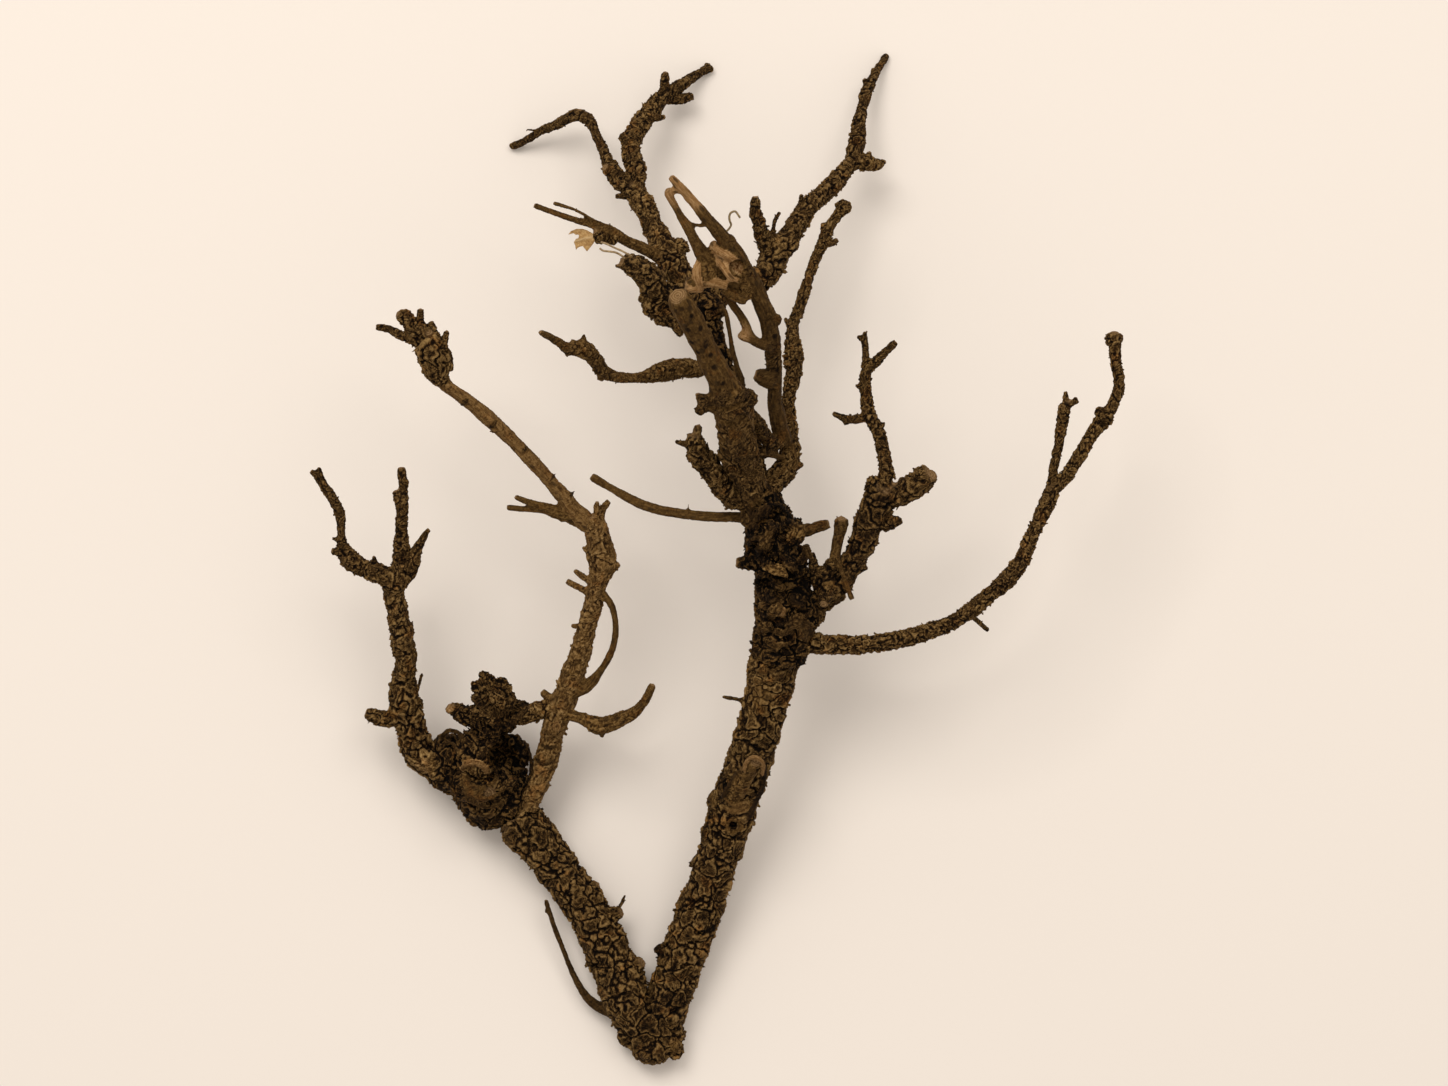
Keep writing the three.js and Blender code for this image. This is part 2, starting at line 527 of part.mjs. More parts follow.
// The tall stem leaves the rear stem and rises over everything else, to a split tip.
branch('tall_stem', barkTan, {
  route: [
    [41.2, 183.5, 52, 2.4], [39.4, 188.5, 57, 2.8], [38.2, 195.2, 63, 2.5], [37.9, 201.3, 68, 2.4],
    [37.6, 208.9, 74, 2.5], [36.8, 216.6, 80, 2.7], [34.6, 224.5, 87, 3.1], [31, 231.4, 92, 3.4],
    [28.6, 236.8, 96, 3.3], [25.4, 241.5, 100, 3.1], [20.6, 246.6, 103, 2.7], [15.4, 252.4, 107, 2.2],
    [10.2, 258.8, 111, 1.9], [5.8, 265, 114, 1.6],
  ],
  stubs: [[[37.5, 202, 70, 2.8], [34.5, 203.5, 71, 2.8], [31.5, 204.5, 71.5, 2]]],
  knots: [[38, 221, 84, 2.2], [24, 245, 102, 2.6]],
});

// The twin twig starts in a mass of peeling bark and runs beside the tall stem.
branch('twin_twig', barkTan, {
  route: [
    [31.5, 230, 91, 2.6], [26.8, 233, 93.5, 3.9], [22, 236.4, 96, 4.5], [17.7, 240.7, 99, 3.5],
    [14.6, 244.9, 102, 2], [12.2, 249.8, 105, 1.7], [9.5, 254.1, 108, 1.5], [6.7, 257.7, 110, 1.6],
    [4.6, 260.8, 112, 1.8],
  ],
  stubs: [
    [[20.5, 236, 96.5, 3.2], [14.5, 232.8, 97.5, 2.5], [10.7, 231.3, 98.5, 2.1]],
    [[12.2, 250.5, 105, 1.3], [16.5, 251.5, 106, 1.3]],
    [[5, 260.4, 111.5, 1.4], [9.5, 260, 111.5, 1.3]],
  ],
});

branch('cross_twig', barkTan, {
  route: [
    [37, 212.5, 79, 1.7], [31.5, 215, 83, 1.7], [28, 221.7, 87.5, 1.5], [24.4, 226.8, 91, 1.4],
    [22.5, 232.5, 94, 1.5],
  ],
  stubs: [[[30.5, 215.3, 83.5, 1.6], [26.9, 216.6, 86, 1.5]]],
});

// A twisted strand ties the thick stub to the foot of the tall stem.
branch('twisted_strand', barkDark, {
  route: [[29.5, 194, 74, 1.8], [33, 189.5, 67, 2], [35.5, 184.8, 60, 2.3], [39.5, 182.5, 54, 2]],
  stubs: [[[35.5, 184.5, 60, 1.4], [35, 179.8, 58.5, 1.2], [31, 179.5, 61.5, 1.1]]],
});

// The back stem runs behind the thick stub, from the heart to a burl at the root of the top.
branch('back_stem', barkDark, {
  route: [
    [32, 168, 51.5, 4], [30.5, 180, 50, 4.2], [27.5, 190.6, 47, 4.2], [24.7, 199.8, 44.5, 4.1],
    [20.7, 208.3, 42.5, 4.1], [18, 215.6, 41, 4.1], [16.8, 222.7, 40, 4.5], [14.3, 228.4, 39, 4.7],
    [10.7, 233.3, 38, 4.1],
  ],
  knots: [[18, 224.5, 42, 4.6]],
});

branch('thin_stem', barkMiddle, {
  route: [
    [19.5, 225, 43, 0.9], [22.6, 223.9, 45.5, 1], [24.1, 217.8, 46.5, 1], [25, 212, 47.5, 1],
    [26.5, 206.8, 48, 1], [28, 202.5, 48, 1.1], [27, 197, 47, 1],
  ],
});

// The branches of the top left come down from the burl, and two of their tips touch the table.
branch('upper_left_limb', barkMiddle, {
  route: [
    [12.5, 231.5, 37.5, 3.4], [7.7, 237.6, 35.5, 4.4], [4.9, 242.5, 33, 4], [1.2, 248.6, 30, 3.2],
    [-0.7, 253.5, 28, 3], [-3.1, 257.7, 26, 3.5], [-4.9, 260.2, 25, 3.2],
  ],
  stubs: [[[-5, 259, 25.5, 1.5], [-11, 258.7, 26, 0.9]]],
  knots: [[8.8, 243, 34, 2.8], [-4.6, 259.8, 25, 3.5]],
});

branch('upper_left_twig', barkMiddle, {
  route: [
    [-5.6, 260.6, 24.8, 2.1], [-9, 263, 24, 2.5], [-11.3, 266.3, 22.5, 2.4], [-13.2, 269.9, 21, 1.9],
    [-14.6, 273.6, 19, 1.6], [-16.8, 277.9, 17, 1.6], [-18.3, 281.5, 15, 1.7], [-21.4, 283.3, 13.5, 2],
    [-25.3, 282.4, 11.5, 1.8], [-29.3, 280.3, 9.5, 1.5], [-33.2, 278.8, 7, 1.4], [-36.6, 276.6, 5, 1.3],
    [-40, 274.8, 2.6, 1.3], [-42.6, 273.8, 0.8, 1.5],
  ],
  stubs: [
    [[-10, 264.8, 23.5, 2], [-14.2, 267.9, 26, 1.9]],
    [[-34, 278.6, 7, 0.7], [-37.8, 279.2, 9, 0.5]],
    [[-21.4, 283.3, 13.5, 1.2], [-21.6, 285.5, 14.5, 0.9]],
  ],
});

branch('upper_middle_twig', barkMiddle, {
  route: [
    [-4.4, 260.5, 25, 2.2], [-3.9, 265, 24, 2.7], [-4.9, 269, 22, 2.8], [-6, 273.9, 20, 2.8],
    [-4.6, 278, 18, 2.9], [-2, 281.8, 16, 2.8], [0.6, 285.4, 14, 2.8], [3, 288.4, 12, 2.4],
    [6, 290.6, 10, 2.1], [9.5, 292.9, 7.5, 1.9], [13.1, 295.1, 4.8, 1.5], [16.5, 297.1, 2.4, 1.4],
    [18.6, 298.2, 1, 1.9],
  ],
  stubs: [
    [[4, 290, 12.5, 1.6], [4.4, 293.8, 13.5, 1.5], [4.6, 297, 14.5, 1.2]],
    [[3.5, 288.3, 10, 1.6], [8.8, 288.2, 8.5, 1.5], [13.4, 289.4, 7, 1.5]],
    [[-1.5, 282, 16.5, 1.4], [4.9, 283, 18, 1.1]],
  ],
  knots: [[-7.8, 276.3, 19, 1.9]],
});

branch('twig_pair', barkTan, {
  route: [
    [6, 239.5, 34.5, 2], [1.2, 241.2, 36, 2.1], [-2.2, 242.9, 38, 1.9], [-6.9, 244.9, 40, 1.8],
    [-10.7, 247, 42, 2], [-14, 248.2, 43.5, 2.3], [-16.3, 248.2, 44, 1.8],
  ],
  stubs: [
    [[-14, 248.8, 44, 1.3], [-26.8, 252.8, 46, 1.1], [-35.7, 256.2, 48, 1.1]],
    [[-12.5, 249, 44.5, 1.1], [-17.1, 251.3, 45.5, 0.8], [-22.6, 254.5, 47, 0.7], [-29.8, 256.8, 48.5, 0.9]],
  ],
});

// The gnarl at the root of the twig pair is a crumpled mass of burls that stands off to the left.
branch('gnarl', barkDark, {
  route: [
    [12.5, 229.3, 40, 3.4], [6.7, 227.2, 43, 4.5], [2.1, 229.7, 45, 4.6], [-0.6, 234.2, 47, 4.1],
    [-4, 237, 48.5, 3.6], [-6.7, 238.2, 49.5, 2.8], [-9.2, 239, 50.5, 1.7],
  ],
  stubs: [
    [[0, 227, 45, 2.4], [-4, 227.7, 46, 0.9]],
    [[6, 222, 43.5, 2.2], [9.8, 215.9, 45, 1.2]],
    [[-6, 237, 49, 1.2], [-11, 237.6, 50, 0.7]],
  ],
  knots: [[1.5, 225.7, 44, 4.1], [4.6, 221.9, 43.5, 3]],
});

branch('mid_left_branch', barkTan, {
  route: [
    [19.5, 207.5, 44, 2.3], [15.3, 206, 46.5, 2.6], [9.8, 206.2, 50, 3], [4.9, 205.5, 54, 3.2],
    [1.2, 204.4, 57, 2.6], [-3.4, 203.4, 61, 1.8], [-9.8, 203.6, 65, 1.8], [-14.4, 205.4, 69, 2.2],
    [-17, 209.2, 73, 2.3], [-20.6, 212.4, 77, 2.8], [-25, 212.3, 80, 2], [-28.9, 214.8, 83, 1.4],
    [-33.9, 217.5, 87, 1.1],
  ],
  stubs: [
    [[-20.4, 213, 78, 1.6], [-20.2, 216.9, 79.5, 0.6]],
    [[-22, 213, 78, 1.3], [-24.2, 215.2, 79, 0.7]],
    [[-14.5, 205, 68.5, 1.5], [-15.6, 202.2, 68.5, 1.2]],
    [[-24, 212, 79, 1.3], [-25.9, 209.8, 79, 0.9]],
  ],
});

branch('upper_right_limb', barkMiddle, {
  route: [
    [17.5, 226, 39.5, 3], [22.9, 229.4, 39, 3.4], [29.9, 231.5, 38, 3.8], [35.4, 234.9, 36.5, 4],
    [38.8, 241.5, 34, 4.2], [42.2, 245.6, 32, 3.6], [44.6, 250.2, 30, 3.1], [47.6, 254.9, 27.5, 3.1],
    [51.5, 258.7, 25, 2.8], [55.4, 262.4, 22.5, 2.7], [59.2, 266.1, 20, 2.5], [61.9, 269.3, 18, 2.6],
  ],
  stubs: [
    [[46.2, 255, 28.5, 1.1], [46, 259.6, 31, 0.9]],
    [[37.5, 243.5, 35, 1.1], [37.8, 250.6, 37, 0.9], [39.7, 254.2, 38, 0.8]],
  ],
  knots: [[61.9, 269.3, 17.8, 2.9]],
});

branch('upper_right_side_twig', barkMiddle, {
  route: [
    [36.8, 240.5, 35, 2.2], [34.5, 245.5, 37, 2.4], [33.2, 250.1, 39, 2.2], [32, 254.7, 41, 1.8],
    [32.2, 259, 43, 1.4],
  ],
  stubs: [[[32.7, 252.3, 40, 1.2], [29.9, 252.9, 41, 0.7]]],
});

branch('upper_right_twig', barkMiddle, {
  route: [
    [61.8, 270.3, 17.6, 2], [62.5, 273, 16.5, 2.5], [63.1, 276.6, 15, 2.5], [63.7, 280.9, 13, 2.2],
    [64.7, 285.8, 10.5, 1.7], [65.6, 289.4, 8.5, 1.9], [67.1, 293.1, 6.5, 1.7], [68.9, 296.5, 4.6, 1.4],
    [70.5, 299.2, 2.6, 1.2], [72.3, 302.2, 0.7, 1.3],
  ],
  stubs: [
    [[66.5, 292, 7, 1.1], [65, 294.9, 8, 1]],
    [[68.2, 295.5, 5.5, 1], [67.9, 298.2, 6.5, 0.9]],
  ],
});

branch('upper_right_wedge', barkTan, {
  route: [
    [62, 269.4, 17.8, 1.9], [64.5, 269.3, 17.5, 2.6], [67.1, 268.7, 17, 2.3], [69.8, 268.7, 16.5, 1.6],
    [72, 269.6, 16, 0.8],
  ],
  stubs: [[[66.3, 269.8, 17.5, 1.3], [67, 272.6, 18.5, 0.9]]],
});

// A torn dry leaf is stuck to the twig pair. It has two points, and a curl at its upper edge.
branch('dried_leaf', dryLeaf, {
  leaf: [
    [-16.2, 246.9], [-17.9, 247.6], [-19.3, 248.4], [-20.7, 248.9], [-22.4, 248.8], [-24.1, 248.2],
    [-24.9, 247], [-22.6, 247.4], [-21.7, 246.6], [-22.7, 245.8], [-23.3, 244.8], [-22.6, 242.4],
    [-20.6, 243.7], [-19.3, 241.9], [-16.2, 245.6],
  ],
});

export default driftwood;
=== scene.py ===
import math

import bmesh
import bpy
import numpy as np
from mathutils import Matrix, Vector, noise


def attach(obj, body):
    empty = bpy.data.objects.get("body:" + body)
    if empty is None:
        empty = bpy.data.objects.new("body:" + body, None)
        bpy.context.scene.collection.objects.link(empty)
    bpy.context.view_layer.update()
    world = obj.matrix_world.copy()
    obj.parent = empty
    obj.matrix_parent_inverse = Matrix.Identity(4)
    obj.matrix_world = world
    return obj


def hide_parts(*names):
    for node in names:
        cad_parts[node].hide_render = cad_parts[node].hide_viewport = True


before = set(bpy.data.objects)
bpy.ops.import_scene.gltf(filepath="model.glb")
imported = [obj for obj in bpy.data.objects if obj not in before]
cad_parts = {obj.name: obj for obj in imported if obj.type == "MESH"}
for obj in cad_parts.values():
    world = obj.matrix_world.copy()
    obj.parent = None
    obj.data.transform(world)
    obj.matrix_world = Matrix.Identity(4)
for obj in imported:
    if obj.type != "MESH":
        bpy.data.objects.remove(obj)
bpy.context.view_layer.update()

# The eye looks straight down on the table. All wood below is drawn as this eye sees it at the
# scale of the table top, in millimetres, so this comes first.
EYE_HEIGHT = 1500.0
EYE_X = 22.5
EYE_Y = 153.0
FRAME_WIDTH = 441.6
METRE = 0.001


def in_scene(name, data):
    """A new object in the scene that shows this data."""
    thing = bpy.data.objects.new(name, data)
    bpy.context.scene.collection.objects.link(thing)
    return thing


eye = bpy.data.cameras.new("eye")
eye.sensor_width = 36.0
eye.lens = eye.sensor_width * EYE_HEIGHT / FRAME_WIDTH
eye.clip_start = 0.05
eye.clip_end = 20.0
eye_object = in_scene("eye", eye)
eye_object.location = (EYE_X * METRE, EYE_Y * METRE, EYE_HEIGHT * METRE)
bpy.context.scene.camera = eye_object

# The table is a plain pale matt board, lit by one large soft lamp from the upper left, a weaker
# one from the right, and the light of a pale room.
def soft_lamp(name, place, size, power, colour):
    lamp = bpy.data.lights.new(name, "AREA")
    lamp.shape = "DISK"
    lamp.size = size
    lamp.energy = power
    lamp.color = colour
    lamp_object = in_scene(name, lamp)
    lamp_object.location = place
    aim = Vector((0.02, 0.15, 0.02)) - Vector(place)
    lamp_object.rotation_euler = aim.to_track_quat("-Z", "Y").to_euler()


soft_lamp("lamp_left", (-0.55, 1.2, 1.75), 1.1, 19.6, (1.0, 0.95, 0.885))
soft_lamp("lamp_right", (0.6, 1.1, 1.8), 1.2, 9.0, (1.0, 0.95, 0.885))

room = bpy.data.worlds.new("pale_room")
room.use_nodes = True
room.node_tree.nodes["Background"].inputs["Color"].default_value = (1.0, 0.93, 0.85, 1.0)
room.node_tree.nodes["Background"].inputs["Strength"].default_value = 0.6
bpy.context.scene.world = room
bpy.context.scene.view_settings.view_transform = "Standard"

table_mesh = bpy.data.meshes.new("table")
table_mesh.from_pydata([(-3, -3, 0), (3, -3, 0), (3, 3, 0), (-3, 3, 0)], [], [(0, 1, 2, 3)])
table = in_scene("table", table_mesh)
pale_board = bpy.data.materials.new("pale_board")
pale_board.use_nodes = True
board_shader = pale_board.node_tree.nodes["Principled BSDF"]
board_shader.inputs["Base Color"].default_value = (0.86, 0.80, 0.745, 1.0)
board_shader.inputs["Roughness"].default_value = 0.9
board_shader.inputs["Specular IOR Level"].default_value = 0.1
table_mesh.materials.append(pale_board)

# The fork: the foot of the thick right limb, the left limb that leaves it at a sharp angle, and
# a thin hanging twig. Weathered hardwood in rough dark bark; the foot is worn flat on the table.
def nearness(height):
    return 1 - height / EYE_HEIGHT


def place(x, y, height):
    near = nearness(height)
    return (EYE_X + (x - EYE_X) * near, EYE_Y + (y - EYE_Y) * near, height)


def centre_line(route, pitch):
    """Points [x, y, z, radius] every pitch along a smooth line through the route."""
    stops = np.array([[*place(x, y, h), r * nearness(h)] for x, y, h, r in route])
    padded = np.vstack([2 * stops[0] - stops[1], stops, 2 * stops[-1] - stops[-2]])
    line = []
    for i in range(len(stops) - 1):
        p0, p1, p2, p3 = padded[i:i + 4]
        d0 = np.linalg.norm((p1 - p0)[:3]) ** 0.5
        d1 = np.linalg.norm((p2 - p1)[:3]) ** 0.5
        d2 = np.linalg.norm((p3 - p2)[:3]) ** 0.5
        leave = ((p1 - p0) / d0 - (p2 - p0) / (d0 + d1) + (p2 - p1) / d1) * d1
        reach = ((p2 - p1) / d1 - (p3 - p1) / (d1 + d2) + (p3 - p2) / d2) * d1
        count = max(2, round(float(np.linalg.norm((p2 - p1)[:3])) / pitch))
        t = np.linspace(0, 1, count, endpoint=False)[:, None]
        line.append((2 * t ** 3 - 3 * t ** 2 + 1) * p1 + (t ** 3 - 2 * t ** 2 + t) * leave
                    + (3 * t ** 2 - 2 * t ** 3) * p2 + (t ** 3 - t ** 2) * reach)
    line.append(stops[-1:])
    line = np.vstack(line)
    line[:, 3] = np.maximum(line[:, 3], 0.3)
    return line


def strand(route, tone, smooth, broken=True, pitch=0.8, flat=1.0):
    """One length of wood with the frame of its cross-section at every point."""
    line = centre_line(route, pitch)
    middle = line[:, :3]
    along = np.gradient(middle, axis=0)
    along /= np.linalg.norm(along, axis=1)[:, None]
    side = np.zeros_like(along)
    start = np.cross(along[0], (0.3, 0.2, 0.93))
    side[0] = start / np.linalg.norm(start)
    for i in range(1, len(along)):
        turned = side[i - 1] - along[i] * np.dot(side[i - 1], along[i])
        side[i] = turned / np.linalg.norm(turned)
    steps = np.linalg.norm(np.diff(middle, axis=0), axis=1)
    return {
        "middle": middle, "radius": line[:, 3], "along": along, "side": side,
        "up": np.cross(along, side), "length": np.concatenate([[0], np.cumsum(steps)]),
        "tone": tone, "smooth": smooth, "broken": broken, "flat": flat,
    }


def burl(x, y, height, radius, flat=1.0, tone=0.3, smooth=0.0):
    """A lump of knotted wood, a ball that may be squashed in height."""
    centre = np.array([place(x, y, height)])
    return {
        "middle": centre, "radius": np.array([radius * nearness(height)]),
        "along": np.array([[0.0, 0.0, 1.0]]), "side": np.array([[1.0, 0.0, 0.0]]),
        "up": np.array([[0.0, 1.0, 0.0]]), "length": np.zeros(1),
        "tone": tone, "smooth": smooth, "broken": False, "flat": flat,
    }


def limb(route=(), stubs=(), knots=(), tone=0.42, smooth=0.0):
    """A branch with the broken stubs and the knots that grow from it."""
    wood = [strand(line, tone, smooth) for line in (route, *stubs) if line]
    wood += [burl(*knot, tone=tone, smooth=smooth) for knot in knots]
    return wood


def skin_height(wood, x, y):
    """How high the wood stands at a real place (x, y)."""
    best = 0.0
    for one in wood:
        off = np.hypot(one["middle"][:, 0] - x, one["middle"][:, 1] - y)
        under = off < one["radius"]
        if under.any():
            rise = np.sqrt(one["radius"][under] ** 2 - off[under] ** 2) * one["flat"]
            best = max(best, float((one["middle"][under, 2] + rise).max()))
    return best


EDGE_FALL = 1.4


def lying_height(wood, x, y):
    """How high the wood stands where the camera sees the plan place (x, y)."""
    height = 20.0
    for _ in range(4):
        real_x, real_y, _ = place(x, y, height)
        height = skin_height(wood, real_x, real_y) or height
    return height


def vein(wood, route, tone=0.4, smooth=0.0, flat=1.0):
    """A ridge, lip or strip that lies on the wood. Its route is [x, y, lift, radius], with the
    lift counted from the skin below it. Past an edge it falls no steeper than the edge does."""
    lying = [(x, y, lying_height(wood, x, y)) for x, y, _, _ in route]
    stops = []
    for x, y, lift, radius in route:
        height = max(z - EDGE_FALL * math.hypot(x - a, y - b) for a, b, z in lying)
        stops.append([x, y, height + lift, radius])
    return strand(stops, tone, smooth, broken=False, pitch=0.5, flat=flat)


LUMP_PITCH = 5.5
LUMP_SHARE = 0.13
FLUTE_SHARE = 0.12
RAGGED_SHARE = 0.35
END_TAPER = 0.22
SIDE_WIDTH = 0.75
FEWEST_SIDES, MOST_SIDES = 12, 44
SEED_STEP = 7.3


def lumpy(point, radius):
    return radius * (1 + LUMP_SHARE * noise.noise(Vector(point) / LUMP_PITCH))


def round_skin(wood, seed):
    """The closed skin of one strand: rings that are fluted and lumpy, and a ragged broken end."""
    radius, length = wood["radius"], wood["length"]
    sides = int(min(MOST_SIDES, max(FEWEST_SIDES, 2 * math.pi * radius.max() / SIDE_WIDTH)))
    turn = np.arange(sides) * 2 * math.pi / sides
    rings = len(radius)
    points = []
    for i in range(rings):
        from_end = length[-1] - length[i]
        taper = 1.0 - END_TAPER * max(0.0, 1.0 - from_end / (0.8 * radius[i] + 0.2))
        for angle in turn:
            c, s = math.cos(angle), math.sin(angle)
            out = wood["side"][i] * c + wood["up"][i] * s * wood["flat"]
            flute = noise.noise(Vector((c * 1.5, s * 1.5, length[i] / (4 * radius[i] + 2) + seed)))
            reach = lumpy(wood["middle"][i] + out * radius[i], radius[i]) * taper
            reach *= 1 + FLUTE_SHARE * flute
            point = wood["middle"][i] + out * reach
            if i == rings - 1:
                ragged = noise.noise(Vector((c * 2.5, s * 2.5, seed * 3.1)))
                point = point + wood["along"][i] * ragged * RAGGED_SHARE * radius[i]
            points.append(point)
    points.append(wood["middle"][0] - wood["along"][0] * 0.3 * radius[0])
    points.append(wood["middle"][-1] - wood["along"][-1] * 0.12 * radius[-1])
    faces = []
    for i in range(rings - 1):
        for j in range(sides):
            k = (j + 1) % sides
            faces.append((i * sides + j, i * sides + k, (i + 1) * sides + k, (i + 1) * sides + j))
    first, last = rings * sides, rings * sides + 1
    for j in range(sides):
        k = (j + 1) % sides
        faces.append((first, k, j))
        faces.append((last, (rings - 1) * sides + j, (rings - 1) * sides + k))
    return points, faces


def ball_skin(wood):
    """The closed skin of a burl, as rings of latitude."""
    radius = wood["radius"][0]
    centre = wood["middle"][0]
    bands, sides = 14, 24
    points = [centre + np.array([0, 0, radius * wood["flat"]])]
    for i in range(1, bands):
        tilt = math.pi * i / bands
        for j in range(sides):
            turn = 2 * math.pi * j / sides
            wide = math.sin(tilt)
            out = np.array([wide * math.cos(turn), wide * math.sin(turn), math.cos(tilt)])
            reach = out * lumpy(centre + out * radius, radius)
            reach[2] *= wood["flat"]
            points.append(centre + reach)
    points.append(centre - np.array([0, 0, radius * wood["flat"]]))
    faces = []
    for j in range(sides):
        k = (j + 1) % sides
        faces.append((0, 1 + j, 1 + k))
        base = 1 + (bands - 2) * sides
        faces.append((len(points) - 1, base + k, base + j))
    for i in range(bands - 2):
        for j in range(sides):
            k = (j + 1) % sides
            upper, lower = 1 + i * sides, 1 + (i + 1) * sides
            faces.append((upper + j, lower + j, lower + k, upper + k))
    return points, faces


def plain_mesh(source):
    """The object's mesh with its modifiers worked in, and the object without them."""
    worked = source.evaluated_get(bpy.context.evaluated_depsgraph_get())
    shaped = bpy.data.meshes.new_from_object(worked)
    source.modifiers.clear()
    old = source.data
    source.data = shaped
    bpy.data.meshes.remove(old)
    return shaped


def even_cells(piece, cell):
    step = piece.modifiers.new("cells", "REMESH")
    step.mode = "VOXEL"
    step.voxel_size = cell


def joined_mesh(name, skins):
    """One mesh of several closed skins."""
    points, faces = [], []
    for more_points, more_faces in skins:
        base = len(points)
        points += more_points
        faces += [tuple(i + base for i in face) for face in more_faces]
    mesh = bpy.data.meshes.new(name)
    mesh.from_pydata(points, [], faces)
    return mesh


def fused(name, wood, cell, hollows=()):
    """Joins all strands of a piece to one closed skin of small even cells."""
    skins = []
    for seed, one in enumerate(wood):
        is_ball = len(one["radius"]) == 1
        skins.append(ball_skin(one) if is_ball else round_skin(one, seed * SEED_STEP))
    piece = in_scene(name, joined_mesh(name, skins))
    even_cells(piece, cell)
    scoops = [in_scene("hollow", joined_mesh("hollow", [ball_skin(burl(*hollow))])) for hollow in hollows]
    for ball in scoops:
        scoop = piece.modifiers.new("hollow", "BOOLEAN")
        scoop.operation = "DIFFERENCE"
        scoop.solver = "MANIFOLD"
        scoop.object = ball
    if scoops:
        even_cells(piece, cell)
    worn = piece.modifiers.new("worn", "SMOOTH")
    worn.factor = 0.5
    worn.iterations = 4
    plain_mesh(piece)
    for ball in scoops:
        bpy.data.objects.remove(ball)
    return piece


def keep(mesh, name, kind, values):
    """Stores one value or vector for every point of the mesh."""
    stored = mesh.attributes.new(name, kind, "POINT").data
    part = "vector" if kind == "FLOAT_VECTOR" else "value"
    stored.foreach_set(part, np.ascontiguousarray(values, dtype=np.float32).ravel())


def vertices(mesh):
    points = np.empty(len(mesh.vertices) * 3, dtype=np.float32)
    mesh.vertices.foreach_get("co", points)
    return points.reshape(-1, 3).astype(float)


BATCH = 3000
GRAIN_SHIFT = 31.7


def trace_grain(mesh, wood, patches):
    """Gives every point of the skin the run of its grain: round the strand and along it. A patch
    [x, y, height, radius, tone, smooth] is worn, peeled or blackened bark; a dark patch set in a hollow is
    painted shade."""
    middle, along, side, up = (
        np.vstack([one[part] for one in wood]) for part in ("middle", "along", "side", "up"))
    radius, length = (np.concatenate([one[part] for one in wood]) for part in ("radius", "length"))
    which = np.concatenate([np.full(len(one["radius"]), i) for i, one in enumerate(wood)])
    width = np.concatenate([one["radius"] * (0.4 + 0.6 * min(1.0, one["flat"])) for one in wood])
    tone, smooth, broken = (
        np.array([one[part] for one in wood]) for part in ("tone", "smooth", "broken"))
    last = np.cumsum([len(one["radius"]) for one in wood]) - 1
    points = vertices(mesh)
    normals = np.empty(len(points) * 3, dtype=np.float32)
    mesh.vertex_normals.foreach_get("vector", normals)
    normals = normals.reshape(-1, 3)
    nearest = np.empty(len(points), dtype=int)
    for begin in range(0, len(points), BATCH):
        batch = points[begin:begin + BATCH]
        gap = np.linalg.norm(batch[:, None] - middle[None], axis=2) - width[None]
        nearest[begin:begin + BATCH] = gap.argmin(axis=1)
    away = points - middle[nearest]
    ahead = (away * along[nearest]).sum(1)
    east = (away * side[nearest]).sum(1)
    north = (away * up[nearest]).sum(1)
    out = np.hypot(east, north) + 1e-6
    own = which[nearest]
    reach = radius[nearest]
    grain = np.stack([east / out * reach + own * GRAIN_SHIFT, north / out * reach,
                      length[nearest] + ahead], axis=1)
    end = last[own]
    past = ((points - middle[end]) * along[end]).sum(1) / radius[end]
    facing = (normals * along[end]).sum(1)
    near_end = (end - nearest) < 6
    cut = np.clip((past + 0.45) / 0.3, 0, 1) * np.clip((facing - 0.2) / 0.4, 0, 1)
    cut = cut * near_end * broken[own]
    skin_tone, skin_smooth = tone[own], smooth[own]
    for x, y, height, spread, patch_tone, patch_smooth in patches:
        away = np.linalg.norm(points - place(x, y, height), axis=1)
        share = np.clip(1.6 - 1.6 * away / spread, 0, 1)
        skin_tone = skin_tone * (1 - share) + patch_tone * share
        skin_smooth = skin_smooth * (1 - share) + patch_smooth * share
    keep(mesh, "grain", "FLOAT_VECTOR", grain)
    keep(mesh, "ring", "FLOAT", out)
    keep(mesh, "thick", "FLOAT", reach)
    keep(mesh, "tone", "FLOAT", skin_tone)
    keep(mesh, "smooth", "FLOAT", skin_smooth)
    keep(mesh, "cut", "FLOAT", cut)


def fill(tree, socket, value):
    if isinstance(value, bpy.types.NodeSocket):
        tree.links.new(value, socket)
    elif value is not None:
        socket.default_value = value


def maths(tree, operation, a, b=None, c=None, clamp=False):
    step = tree.nodes.new("ShaderNodeMath")
    step.operation = operation
    step.use_clamp = clamp
    for socket, value in zip(step.inputs, (a, b, c)):
        fill(tree, socket, value)
    return step.outputs[0]


def times(tree, a, b):
    return maths(tree, "MULTIPLY", a, b)


def plus(tree, a, b, clamp=False):
    return maths(tree, "ADD", a, b, clamp=clamp)


def minus(tree, a, b, clamp=False):
    return maths(tree, "SUBTRACT", a, b, clamp=clamp)


def scaled(tree, a, gain, start):
    return maths(tree, "MULTIPLY_ADD", a, gain, start)


def wave(tree, field, rate, power):
    """A wave from 0 to 1 that turns at this rate as the field grows."""
    swing = maths(tree, "SINE", times(tree, field, 2 * math.pi * rate))
    return maths(tree, "POWER", scaled(tree, swing, 0.5, 0.5), power)


def vector_maths(tree, operation, a, b=None):
    step = tree.nodes.new("ShaderNodeVectorMath")
    step.operation = operation
    fill(tree, step.inputs[0], a)
    fill(tree, step.inputs["Scale" if operation == "SCALE" else 1], b)
    return step.outputs["Value" if operation == "DOT_PRODUCT" else "Vector"]


def stretched(tree, vector, factor):
    return vector_maths(tree, "SCALE", vector, factor)


NO_LEAN = (0.5, 0.5, 0.5)


